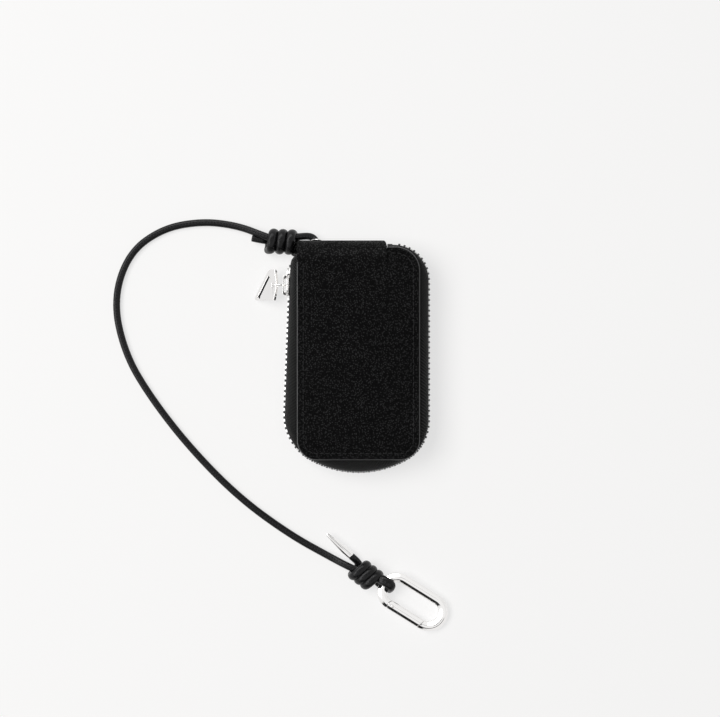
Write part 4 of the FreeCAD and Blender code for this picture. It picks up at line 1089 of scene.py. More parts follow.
class KEYCASE_OT_stitches(bpy.types.Operator):
    """Sewn lines that hold the zip tape to the leather"""

    bl_idname = "keycase.stitches"
    bl_label = "Stitches"

    def execute(self, context):
        sizes = context.scene.key_case_sizes
        pitch = sizes.stitch_pitch / MM
        crown = sizes.front_crown / MM
        sunk, width, length_share = 0.1, 0.5, 0.8
        thread = thread_finish(context.scene.key_case_colours)
        line = inset_line(panel_runs(), sizes.stitch_inset / MM)
        front = [Vector((p.x, p.y, CASE_DEPTH + front_swell(crown, p.x, p.y) - sunk)) for p in line]
        back = [Vector((p.x, p.y, sunk)) for p in line]
        for half, path, up in (("front", front, 1), ("back", back, -1)):
            stitch = moved(stitch_shape(pitch * length_share, width), Matrix.Diagonal((1, up, up, 1)))
            shape = piece_from("stitch_shape", stitch, thread)
            count = int(length_along(path) / pitch)
            row = set_along(half + "_stitches", path, shape, pitch / 2, pitch, count, thread, 50.0)
            finished(row, half + "_half", "panel_leather")
        return {"FINISHED"}


class KEYCASE_OT_zip_tapes(bpy.types.Operator):
    """Woven tapes that bulge out from the leather to the teeth"""

    bl_idname = "keycase.zip_tapes"
    bl_label = "Zip tapes"

    def execute(self, context):
        thickness = context.scene.key_case_sizes.tape_thickness
        twill = tape_finish(context.scene.key_case_colours)
        left, turned = Vector((-1.0, 0.0)), Vector((-0.8, 0.6))
        top_end = [((Vector((-HALF_WIDTH, 43.7)), left), (Vector((-30.4, 43.9)), turned)),
                   ((Vector((-HALF_WIDTH, 42.5)), left), (Vector((-31.5, 42.5)), turned))]
        pairs = top_end + list(zip(walked(panel_runs()), walked(chain_runs())))
        for half in ("front", "back"):
            vertices, uvs, faces = [], [], []
            along = 0.0
            before = pairs[0][1][0]
            for (rim, rim_out), (chain, chain_out) in pairs:
                along += (chain - before).length
                before = chain
                profile = self.profile(rim, rim_out, chain, chain_out)
                across = 0.0
                last = profile[0]
                for spot in profile:
                    across += (spot - last).length
                    last = spot
                    z = CASE_DEPTH - spot.z if half == "front" else spot.z
                    vertices.append(Vector((spot.x, spot.y, z)))
                    uvs.append((along * MAP_PER_MM, across * MAP_PER_MM))
            width = len(profile)
            for station in range(len(pairs) - 1):
                for step in range(width - 1):
                    first = station * width + step
                    face = (first, first + 1, first + width + 1, first + width)
                    faces.append(face if half == "back" else tuple(reversed(face)))
            tape = piece_from(half + "_tape", (vertices, faces), twill, 60.0, uvs)
            wall = tape.modifiers.new("Tape thickness", "SOLIDIFY")
            wall.thickness = thickness
            wall.offset = 0.0
            settle(tape)
            finished(tape, half + "_half", "zip_tape", half + "_zip_tape")
        return {"FINISHED"}

    @staticmethod
    def profile(rim, rim_out, chain, chain_out):
        """Across the tape of the back half: flat under the leather, out in a bulge, and up to the teeth."""
        under_leather = (6.0, 2.4)
        leaves_leather, pull_share, pull_lift = 0.4, 0.55, 0.1
        belly_inset, belly_drop, end_inset = 0.5, 2.6, 0.3
        upright_foot = MIDDLE_Z - TAPE_UPRIGHT
        below_teeth = (3.0, TAPE_EDGE_FROM_MIDDLE)
        steps = 9

        def at(flat, z):
            return Vector((flat.x, flat.y, z))

        start = at(rim - rim_out * leaves_leather, FLANGE_Z)
        pull = at(rim.lerp(chain, pull_share), FLANGE_Z + pull_lift)
        belly = at(chain - chain_out * belly_inset, upright_foot - belly_drop)
        end = at(chain - chain_out * end_inset, upright_foot)
        spots = [at(rim - rim_out * inset, FLANGE_Z) for inset in under_leather]
        for step in range(steps + 1):
            t = step / steps
            s = 1.0 - t
            spots.append(start * s ** 3 + pull * (3 * s * s * t) + belly * (3 * s * t * t) + end * t ** 3)
        return spots + [at(chain, MIDDLE_Z - drop) for drop in below_teeth]


def tooth_shape():
    """One tooth, clamped on the tape's edge, with a chamfered head.
    x runs along the chain, z to the other row."""
    outline = [(-1.05, -3.0), (-0.35, -3.0), (-0.35, -1.15), (0.35, -1.15), (0.35, -3.0), (1.05, -3.0),
               (1.05, 0.15), (0.5, 0.5), (-0.5, 0.5), (-1.05, 0.15)]
    half_length, chamfer, outer_y = 0.525, 0.16, 0.6
    small = []
    for y, z in outline:
        narrowed = y - math.copysign(chamfer, y) if abs(y) > outer_y else y
        lowered = z - chamfer if z > 0.0 else z
        small.append((narrowed, lowered))
    levels = ((-half_length, small), (-half_length + chamfer, outline), (half_length - chamfer, outline),
              (half_length, small))
    return skinned([[Vector((x, y, z)) for y, z in ring] for x, ring in levels])


class KEYCASE_OT_zip_teeth(bpy.types.Operator):
    """Two rows of metal teeth that mesh, with their stops"""

    bl_idname = "keycase.zip_teeth"
    bl_label = "Zip teeth"

    def execute(self, context):
        material = metal("zip_metal")
        path = [Vector((point.x, point.y, MIDDLE_Z)) for point, out in walked(chain_runs())]
        for half, first, up in (("back", FIRST_TOOTH, 1), ("front", FIRST_TOOTH + TOOTH_PITCH / 2, -1)):
            shape = piece_from("tooth_shape", moved(tooth_shape(), Matrix.Diagonal((up, 1, up, 1))), material)
            row = set_along(half + "_teeth", path, shape, first, TOOTH_PITCH, TEETH_IN_ROW, material, 20.0)
            finished(row, half + "_half", "zip_metal", half + "_zip_teeth")
        dress(material, "zip_metal", "back_top_stop", "front_top_stop", "zip_end_stop")
        return {"FINISHED"}


def slider_matrix():
    heading = (CHAIN_LEFT_FOOT - CHAIN_LEFT_TOP).normalized()
    along = Vector((heading.x, heading.y, 0.0))
    out = Vector((heading.y, -heading.x, 0.0))
    start = CHAIN_LEFT_TOP + heading * SLIDER_FROM_TAPE_END
    return axes_matrix(Vector((start.x, start.y, MIDDLE_Z)), out, along, UP)


class KEYCASE_OT_slider(bpy.types.Operator):
    """Zip slider: two shield plates, their guides, the wedge and the bridge for the link"""

    bl_idname = "keycase.slider"
    bl_label = "Zip slider"

    def execute(self, context):
        plating = metal("polished_plating")
        channel, outer, slit = 1.1, 1.85, 0.55
        half_bridge, plate_easing, bridge_easing = 0.8, 0.16, 0.18
        shield = [(0.0, -1.9), (0.35, -2.4), (3.4, -4.3), (12.6, -4.3), (13.4, -3.5), (13.4, 3.5),
                  (12.6, 4.3), (3.4, 4.3), (0.35, 2.4), (0.0, 1.9)]
        guide = [(3.4, 3.35), (13.0, 3.35), (13.0, 4.3), (3.4, 4.3)]
        wedge = [(0.6, 0.0), (2.5, -0.85), (4.4, 0.0), (2.5, 0.85)]
        parts = [prism(shield, channel, outer), prism(shield, -outer, -channel),
                 prism(wedge, -channel, channel)]
        for low, high in ((slit, channel), (-channel, -slit)):
            parts.append(prism(guide, low, high))
            parts.append(prism([(y, -z) for y, z in reversed(guide)], low, high))
        upright = Matrix(((0, 0, 1, 0), (1, 0, 0, 0), (0, 1, 0, 0), (0, 0, 0, 1)))
        body = moved(moved(joined(parts), upright), slider_matrix())
        slider = eased(piece_from("slider", body, plating), plate_easing)
        finished(slider, "zip_slider", "plated_metal", "slider_body")

        outline = [(3.4, 1.85), (5.0, 1.85), (5.0, 2.65), (5.35, 3.0), (11.05, 3.0), (11.4, 2.65),
                   (11.4, 1.85), (13.0, 1.85), (13.0, 2.7), (12.75, 3.3), (12.2, 3.65), (4.2, 3.65),
                   (3.65, 3.3), (3.4, 2.7)]
        flat_up = Matrix(((0, 1, 0, 0), (1, 0, 0, 0), (0, 0, -1, 0), (0, 0, 0, 1)))
        bridge = moved(moved(prism(outline, -half_bridge, half_bridge), flat_up), slider_matrix())
        crown = eased(piece_from("slider_bridge", bridge, plating), bridge_easing)
        finished(crown, "zip_slider", "plated_metal", "slider_crown")
        return {"FINISHED"}


def ring_wire(centre, first_axis, second_axis, radius, wire, steps=64, sides=16):
    """A ring of round wire."""
    normal = first_axis.cross(second_axis)
    rings = []
    for step in reversed(range(steps)):
        turn = math.tau * step / steps
        spoke = first_axis * math.cos(turn) + second_axis * math.sin(turn)
        ring = []
        for side in range(sides):
            round_turn = math.tau * side / sides
            ring.append(centre + spoke * (radius + wire / 2 * math.cos(round_turn))
                        + normal * (wire / 2 * math.sin(round_turn)))
        rings.append(ring)
    return skinned(rings, closed=True)


class KEYCASE_OT_pull(bpy.types.Operator):
    """Round link and bare flared tab of the zip pull"""

    bl_idname = "keycase.pull"
    bl_label = "Zip pull"

    def execute(self, context):
        plating = metal("polished_plating")
        link = piece_from("link", ring_wire(LINK_CENTRE, LINK_OUT, UP, LINK_RADIUS, LINK_WIRE), plating, 80.0)
        finished(link, "pull_link", "plated_metal", "pull_link")

        near, hip, half_neck, half_width = 1.2, 2.4, 1.4, 7.4
        half_plate, easing, hole = 0.8, 0.26, 1.0
        slot_inset, slot_long, slot_wide, slot_cut, slot_edge = 2.3, 6.0, 0.7, 0.3, 0.05
        upper_far, lower_far = Vector((hip + 4.1, -half_width)), Vector((hip + 13.2, half_width))
        along = (lower_far - upper_far).normalized()
        inward = Vector((-along.y, along.x))
        outline = [(near, -half_neck), (hip, -half_width), (upper_far.x - 0.9, -half_width),
                   tuple(upper_far + along * 0.35 + inward * 0.25), tuple(upper_far + along * 1.1),
                   tuple(lower_far - along * 1.9), tuple(lower_far - along * 0.8 + inward * 0.25),
                   (lower_far.x - 1.9, half_width), (hip, half_width), (near, half_neck)]
        slot_middle = (upper_far + lower_far) / 2 + inward * slot_inset
        corners = ((-slot_long, slot_wide - slot_cut), (slot_cut - slot_long, slot_wide),
                   (slot_long - slot_cut, slot_wide), (slot_long, slot_wide - slot_cut))
        slot = []
        for way in (1, -1):
            slot.extend([tuple(slot_middle + (along * x + inward * y) * way) for x, y in corners])
        slot.reverse()
        plate = pierced_plate(outline, [circle((LINK_RADIUS, 0.0), hole, 24), slot], -half_plate, half_plate)
        side = UP.cross(LINK_OUT)
        tab_out = LINK_OUT * math.cos(TAB_DROOP) - UP * math.sin(TAB_DROOP)
        place = axes_matrix(LINK_CENTRE, tab_out, side, tab_out.cross(side))
        tab = eased(piece_from("tab", moved(plate, place), plating), easing)
        # The slot's walls take a near-black metal as painted shadow inside the slot.
        tab.data.materials.append(metal("dark_recess"))
        for face in tab.data.polygons:
            spot = (place.inverted() @ (face.center / MM)).xy - slot_middle
            if abs(spot.dot(along)) < slot_long + slot_edge and abs(spot.dot(inward)) < slot_wide + slot_edge:
                face.material_index = 1
        finished(tab, "pull_tab", "plated_metal", "pull_tab")
        return {"FINISHED"}


class KEYCASE_OT_inside(bpy.types.Operator):
    """Linings, boards, key rail and key hooks inside the case"""

    bl_idname = "keycase.inside"
    bl_label = "Inside"

    def execute(self, context):
        cloth = lining_finish(context.scene.key_case_colours)
        thickness, spacing, steps = 0.8, 2.2, 24
        rim = inset_line(panel_runs(), LINING_INSET)
        rim[0] = Vector((rim[0].x, LINING_END_Y))
        shoulder = Vector((SHOULDER_X, LINING_END_Y))
        outline = rim + [shoulder.lerp(rim[0], step / steps) for step in range(steps)]

        def place(u, v, inset, guide, side):
            drop = quarter_round(inset, thickness / 2)
            return Vector((u, v, LINING_Z + (thickness - drop if side == 0 else drop)))

        turned_over = Matrix.Translation((0, 0, CASE_DEPTH * MM)) @ Matrix.Diagonal((1, 1, -1, 1))
        for half in ("back", "front"):
            lining = soft_shell(half + "_lining_cloth", outline, [], spacing, thickness / 2, place, cloth)
            if half == "front":
                lining.data.transform(turned_over)
                lining.data.flip_normals()
            finished(lining, half + "_half", "lining_cloth", half + "_lining")
        dress(board_finish(), "stiff_board", "back_stiffener", "front_stiffener")
        hooks = ["key_hook_" + str(number) for number in range(1, 5)]
        dress(metal("brushed_steel"), "steel", "key_rail", "key_rail_rod", "key_rail_rivets", *hooks)
        return {"FINISHED"}


class KEYCASE_OT_eyelet(bpy.types.Operator):
    """Eyelet in the fold that the cord goes through"""

    bl_idname = "keycase.eyelet"
    bl_label = "Cord eyelet"

    def execute(self, context):
        profile = [(2.5, 8.3), (2.6, 8.15), (3.3, 8.1), (3.5, 8.3), (3.5, 8.55), (3.3, 8.7), (2.9, 8.7),
                   (2.9, 11.1), (3.8, 11.1), (4.0, 11.25), (4.0, 11.5), (3.7, 11.7), (2.9, 11.7), (2.6, 11.6),
                   (2.5, 11.4), (2.5, 8.3)]
        ring = moved(lathe(profile), axis_matrix(EYELET_AXIS_START, EYELET_OUT))
        eyelet = piece_from("eyelet", ring, metal("polished_plating"), 50.0)
        finished(eyelet, "back_half", "plated_metal", "cord_eyelet")
        return {"FINISHED"}


# Carabiner, in its own frame: x away from the cord, z square to the ring


def bar_section():
    """Across a bar of unit radius: flat top and foot, slanted flanks and eased corners."""
    corners = [Vector(corner) for corner in BAR_CORNERS]
    steps = 4
    spots = []
    for index, corner in enumerate(corners):
        following = corners[(index + 1) % len(corners)]
        before = corner + (corners[index - 1] - corner).normalized() * BAR_EASING
        after = corner + (following - corner).normalized() * BAR_EASING
        flat_end = following + (corner - following).normalized() * BAR_EASING
        for step in range(steps + 1):
            share = step / steps
            spots.append(before.lerp(corner, share).lerp(corner.lerp(after, share), share))
        for step in range(1, steps):
            spots.append(after.lerp(flat_end, step / steps))
    return spots


def heel_turn(radius):
    """Where the ring's bend, at this distance from its centre, meets the room round the gate's heel."""
    low, high = math.radians(200.0), math.radians(270.0)
    for halving in range(40):
        turn = (low + high) / 2
        spot = Vector((-RING_HALF_STRAIGHT + radius * math.cos(turn), radius * math.sin(turn)))
        if (spot - GATE_PIVOT).length > GATE_ROOM:
            low = turn
        else:
            high = turn
    return low


def frame_rings():
    """Rings of the carabiner's frame, from its nose round both bends to the gate's heel."""
    bend_steps, bar_steps, heel_steps = 28, 14, 26
    nose_easing = ((CAP_EASING, 0.0), (0.04, 0.04), (0.0, CAP_EASING))
    nose_x = GATE_TIP_X + GATE_TIP_GAP
    section = bar_section()
    rings = []
    for inset, cut in nose_easing:
        ring = []
        for side in section:
            across = (BAR_RADIUS - inset) * side.x
            ring.append(Vector((nose_x + cut - across * GATE_SLANT, -RING_ARC_RADIUS - across,
                                (BAR_RADIUS - inset) * side.y)))
        rings.append(ring)
    stations = []
    for step in range(1, bend_steps):
        stations.append((RING_HALF_STRAIGHT, math.pi * step / bend_steps - math.pi / 2))
    for step in range(bar_steps + 1):
        stations.append((RING_HALF_STRAIGHT * (1 - 2 * step / bar_steps), math.pi / 2))
    for centre_x, bend in stations:
        ring = []
        for side in section:
            radius = RING_ARC_RADIUS + BAR_RADIUS * side.x
            ring.append(Vector((centre_x + radius * math.cos(bend), radius * math.sin(bend),
                                BAR_RADIUS * side.y)))
        rings.append(ring)
    for step in range(1, heel_steps + 1):
        inset = CAP_EASING if step == heel_steps else 0.0
        ring = []
        for side in section:
            radius = RING_ARC_RADIUS + (BAR_RADIUS - inset) * side.x
            bend = math.pi / 2 + (heel_turn(radius) - math.pi / 2) * step / heel_steps
            ring.append(Vector((-RING_HALF_STRAIGHT + radius * math.cos(bend), radius * math.sin(bend),
                                (BAR_RADIUS - inset) * side.y)))
        rings.append(ring)
    return rings


def gate_rings():
    """Rings of the gate's bar, from its round heel to its slanted tip."""
    steps = 18
    section = bar_section()
    rings = []
    for step in range(-1, steps + 2):
        radius = BAR_RADIUS - CAP_EASING if step in (-1, steps + 1) else BAR_RADIUS
        share = min(1.0, max(0.0, step / steps))
        ring = []
        for side in section:
            across = radius * side.x
            heel = GATE_PIVOT.x - math.sqrt(BAR_RADIUS ** 2 - across ** 2)
            tip = GATE_TIP_X + across * GATE_SLANT
            ring.append(Vector((heel + (tip - heel) * share, GATE_PIVOT.y + across, radius * side.y)))
        rings.append(ring)
    return rings


def cut_away(piece, part):
    """Takes a shape out of a piece."""
    cutter = piece_from("cutter", part, piece.data.materials[0])
    trim = piece.modifiers.new("Cut", "BOOLEAN")
    trim.operation = "DIFFERENCE"
    trim.solver = "EXACT"
    trim.object = cutter
    settle(piece)
    remove_helper(cutter)
    smoothed(piece.data, 35.0)


class KEYCASE_OT_carabiner(bpy.types.Operator):
    """Oval carabiner with its sprung gate"""

    bl_idname = "keycase.carabiner"
    bl_label = "Carabiner"

    def execute(self, context):
        plating = metal("polished_plating")
        place = axes_matrix(RING_CENTRE, RING_X, RING_Y, RING_Z)
        pivot_x, pivot_y = GATE_PIVOT
        tongue_root, tongue_neck, half_neck = -11.2, -8.4, 1.0
        tongue_radius, tongue_sweep, half_tongue, steps = 2.0, math.radians(240.0), 0.8, 24
        tongue = [(tongue_root, pivot_y - half_neck), (tongue_neck, pivot_y - half_neck)]
        for step in range(steps + 1):
            turn = tongue_sweep * (step / steps - 0.5)
            tongue.append((pivot_x + tongue_radius * math.cos(turn),
                           pivot_y + tongue_radius * math.sin(turn)))
        tongue += [(tongue_neck, pivot_y + half_neck), (tongue_root, pivot_y + half_neck)]
        frame_part = joined([skinned(frame_rings()), prism(tongue, -half_tongue, half_tongue)])
        bar = piece_from("carabiner_bar", moved(frame_part, place), plating, 40.0)
        finished(bar, "carabiner", "plated_metal", "carabiner_frame")

        slot_start, slot_end, half_slot = pivot_x - 4.0, pivot_x + 2.4, 0.9
        slot_low, slot_high = -11.0, -3.0
        bore, bore_reach = 0.78, 4.0
        slot = [(slot_start, slot_low), (slot_end, slot_low), (slot_end, slot_high), (slot_start, slot_high)]
        gate = piece_from("gate", skinned(gate_rings()), plating, 40.0)
        cut_away(gate, prism(slot, -half_slot, half_slot))
        cut_away(gate, prism(circle(GATE_PIVOT, bore, 32), -bore_reach, bore_reach))
        for step in (Matrix.Scale(1 / MM, 4), place, Matrix.Scale(MM, 4)):
            gate.data.transform(step)
        finished(gate, "carabiner_gate", "plated_metal", "carabiner_gate")

        top = 2.2
        head = [(0.7, top - 0.2), (0.62, top - 0.05), (0.35, top + 0.08), (0.0, top + 0.1)]
        pin = [(radius, -height) for radius, height in reversed(head)] + head
        pinned = moved(lathe(pin, 32), Matrix.Translation((pivot_x, pivot_y, 0.0)))
        rivet = piece_from("gate_rivet", moved(pinned, place), plating, 40.0)
        finished(rivet, "carabiner", "plated_metal", "gate_pin")
        dress(metal("brushed_steel"), "steel", "gate_plunger", "gate_spring")
        return {"FINISHED"}


# Cord


def beside_ring(x, height, y=0.0):
    flat = RING_CENTRE + RING_LEVEL_X * x + RING_Y * y
    return Vector((flat.x, flat.y, height))


HOOK_COIL_ORIGIN = beside_ring(HOOK_COIL_FROM_RING, COIL_HEIGHT, HOOK_COIL_ASIDE)


def from_fold_axis(distance):
    return EYELET_AXIS_START + EYELET_OUT * distance


def coil_spot(origin, axis, angle, along):
    side = UP.cross(axis)
    up = axis.cross(side)
    turn = math.radians(angle)
    return origin + axis * along + (side * math.cos(turn) + up * math.sin(turn)) * COIL_RADIUS


def coil_points(origin, axis, pitch, levelled, start_angle, first_angle, last_angle):
    """Points of a rising coil between two angles, whose pitch runs from its start angle.
    A levelled coil lies square to its axis over the top and crosses to the next turn underneath."""
    step = 360.0 / COIL_POINTS_PER_TURN
    count = int((last_angle - first_angle) / step)
    points = []
    for index in range(count + 1):
        angle = first_angle + (last_angle - first_angle) * index / count
        swing = levelled * math.sin(math.radians(angle - 90.0)) / math.tau
        points.append(coil_spot(origin, axis, angle, -pitch * ((angle - start_angle) / 360.0 - swing)))
    return points


def cord_route():
    """Control points from the end at the case's knot, through its loop and the long run, to the metal tip."""
    case_tail = [Vector((-50.9, 53.6, 3.8)), Vector((-47.0, 52.7, 4.4)), Vector((-43.4, 52.3, 2.8)),
                 Vector((-42.7, 50.0, 1.9)), Vector((-44.0, 47.6, 3.4))]
    case_coil = coil_points(CASE_COIL_ORIGIN, CASE_COIL_AXIS, CASE_COIL_PITCH, CASE_COIL_LEVELLED,
                            start_angle=-110.0, first_angle=-110.0, last_angle=890.0)
    case_coil.reverse()
    case_loop = [Vector((-31.4, 47.6, 3.6)), Vector((-29.6, 45.6, 5.2)), from_fold_axis(2.6),
                 from_fold_axis(16.4), Vector((-30.8, 54.0, 6.2)), Vector((-38.4, 52.2, 6.0))]
    run = [Vector((-45.4, 54.6, 6.2)), Vector((-58.0, 59.6, 2.6)), Vector((-75.0, 61.8, CORD_Z)),
           Vector((-94.2, 58.4, CORD_Z)), Vector((-110.6, 46.4, CORD_Z)), Vector((-117.9, 23.5, CORD_Z)),
           Vector((-112.1, -2.4, CORD_Z)), Vector((-99.4, -23.6, CORD_Z)), Vector((-80.8, -47.4, CORD_Z)),
           Vector((-57.6, -71.0, CORD_Z)), Vector((-33.0, -88.9, CORD_Z)), Vector((-13.0, -99.8, 2.7)),
           beside_ring(-36.0, 6.1, -2.2)]
    hook_loop = [beside_ring(-28.9, 6.1, -1.2), beside_ring(-21.8, 6.1, 0.2),
                 beside_ring(-18.5, 10.2, 1.8), beside_ring(-13.0, 10.4, 1.7),
                 beside_ring(-12.2, 6.0, 0.0), beside_ring(-13.4, CORD_Z, -1.7),
                 coil_spot(HOOK_COIL_ORIGIN, HOOK_COIL_AXIS, -90.0, 4.2),
                 coil_spot(HOOK_COIL_ORIGIN, HOOK_COIL_AXIS, -88.0, 0.6)]
    hook_coil = coil_points(HOOK_COIL_ORIGIN, HOOK_COIL_AXIS, HOOK_COIL_PITCH, HOOK_COIL_LEVELLED,
                            start_angle=-90.0, first_angle=-50.0, last_angle=930.0)
    hook_tail = [beside_ring(-30.4, CORD_Z, -1.2), beside_ring(-31.4, CORD_Z, 1.6),
                 beside_ring(-36.0, 3.0, 2.5), beside_ring(-40.7, 3.4, 3.33)]
    return case_tail + case_coil + case_loop + run + hook_loop + hook_coil + hook_tail


def smooth_line(points):
    """Places along the smooth line that has these control points."""
    curve = bpy.data.curves.new("cord_line", "CURVE")
    curve.dimensions = "3D"
    curve.resolution_u = 10
    spline = curve.splines.new("NURBS")
    spline.points.add(len(points) - 1)
    for spot, point in zip(spline.points, points):
        spot.co = (point.x * MM, point.y * MM, point.z * MM, 1.0)
    spline.order_u = 3
    spline.use_endpoint_u = True
    holder = bpy.data.objects.new("cord_line", curve)
    bpy.context.scene.collection.objects.link(holder)
    graph = bpy.context.evaluated_depsgraph_get()
    mesh = bpy.data.meshes.new_from_object(holder.evaluated_get(graph))
    places = [vertex.co / MM for vertex in mesh.vertices]
    bpy.data.meshes.remove(mesh)
    bpy.data.objects.remove(holder)
    bpy.data.curves.remove(curve)
    return places


def coil_nearness(place, origin, axis, length):
    """1 where a place is on the coil's turns, easing to 0 off them."""
    along = -(place - origin).dot(axis)
    off_axis = (place - origin + axis * along).length
    ends = min(1.0, max(0.0, along + 1.0), max(0.0, length + 1.0 - along))
    return ends * min(1.0, max(0.0, 2.0 - abs(off_axis - COIL_RADIUS)))


def pressed(ring, axis, wide, thick):
    """A ring round the cord's line made thicker, and wide along an axis."""
    return [spot * thick + axis * (spot.dot(axis) * (wide - thick)) for spot in ring]


def tube_skin(places, radius, sides):
    """Rings round a line, carried along it without twist, with the length up to each.
    Where the cord is wound its section is pressed wide along the coil, and in the hook's loop across it."""
    coils = ((CASE_COIL_ORIGIN, CASE_COIL_AXIS, CASE_COIL_LENGTH),
             (HOOK_COIL_ORIGIN, HOOK_COIL_AXIS, HOOK_COIL_LENGTH))
    loop_middle = beside_ring(*LOOP_MIDDLE)
    turns = [math.tau * step / sides for step in range(sides)]
    side = (places[1] - places[0]).cross(UP)
    rings, lengths = [], []
    along = 0.0
    for index, place in enumerate(places):
        before = places[max(0, index - 1)]
        after = places[min(len(places) - 1, index + 1)]
        along += (place - before).length
        heading = (after - before).normalized()
        side = (side - heading * side.dot(heading)).normalized()
        up = heading.cross(side)
        ring = [(side * math.cos(turn) + up * math.sin(turn)) * radius for turn in turns]
        for origin, axis, length in coils:
            near = coil_nearness(place, origin, axis, length)
            ring = pressed(ring, axis, 1.0 + (COIL_WIDENED - 1.0) * near, 1.0 + (COIL_THICKENED - 1.0) * near)
        near = min(1.0, max(0.0, LOOP_REACH - (place - loop_middle).length))
        ring = pressed(ring, RING_Y, 1.0 + (LOOP_WIDENED - 1.0) * near, 1.0)
        rings.append([place + spot for spot in ring])
        lengths.append(along)
    return rings, lengths


class KEYCASE_OT_cord(bpy.types.Operator):
    """Round leather cord with its two knots and its metal tip"""

    bl_idname = "keycase.cord"
    bl_label = "Leather cord"

    def execute(self, context):
        sizes = context.scene.key_case_sizes
        radius = sizes.cord_diameter / MM / 2
        sides = sizes.cord_sides
        places = smooth_line(cord_route())
        rings, lengths = tube_skin(places, radius, sides)
        cord = piece_from("cord", skinned(rings), cord_finish(context.scene.key_case_colours), 180.0)
        for cap in cord.data.polygons[-2:]:
            cap.use_smooth = False
        layer = cord.data.uv_layers.new(name="flat", do_init=False)
        side_width = math.tau * radius / sides
        for face in cord.data.polygons[:-2]:
            level, step = divmod(face.index, sides)
            corners = ((level, step), (level, step + 1), (level + 1, step + 1), (level + 1, step))
            for loop, (ring, turn) in zip(face.loop_indices, corners):
                layer.data[loop].uv = (lengths[ring] * MAP_PER_MM, side_width * turn * MAP_PER_MM)
        finished(cord, "back_half", "cord_leather", "lanyard_cord", "case_knot", "hook_knot")

        heading = (places[-1] - places[-4]).normalized()
        profile = [(1.7, -4.0), (1.8, -4.06), (1.88, -3.95), (1.92, -3.6), (1.88, -3.3), (1.88, 0.0),
                   (1.5, 4.0), (1.1, 8.0), (0.78, 11.3), (0.6, 11.75), (0.3, 11.96), (0.0, 12.0)]
        cone = moved(lathe(profile), axis_matrix(places[-1], heading))
        tip = piece_from("metal_tip", cone, metal("polished_plating"), 40.0)
        finished(tip, "back_half", "plated_metal", "cord_tip")

        return {"FINISHED"}


# Stage


def shown_rays(tree):
    """1 for rays that show the background as it is, and the ones among them that metal mirrors."""
    path = add(tree, "ShaderNodeLightPath").outputs
    mirrored = path["Is Glossy Ray"]
    shown = larger(tree, path["Is Camera Ray"], mirrored)
    return larger(tree, shown, path["Is Transmission Ray"]), mirrored


def mixed_surface(tree, share, first, second, kind):
    """Puts out a mix of two shaders."""
    mix = add(tree, "ShaderNodeMixShader")
    for socket, value in zip(mix.inputs, (share, first.outputs[0], second.outputs[0])):
        feed(tree, socket, value)
    fill(tree, add(tree, kind), Surface=mix.outputs[0])


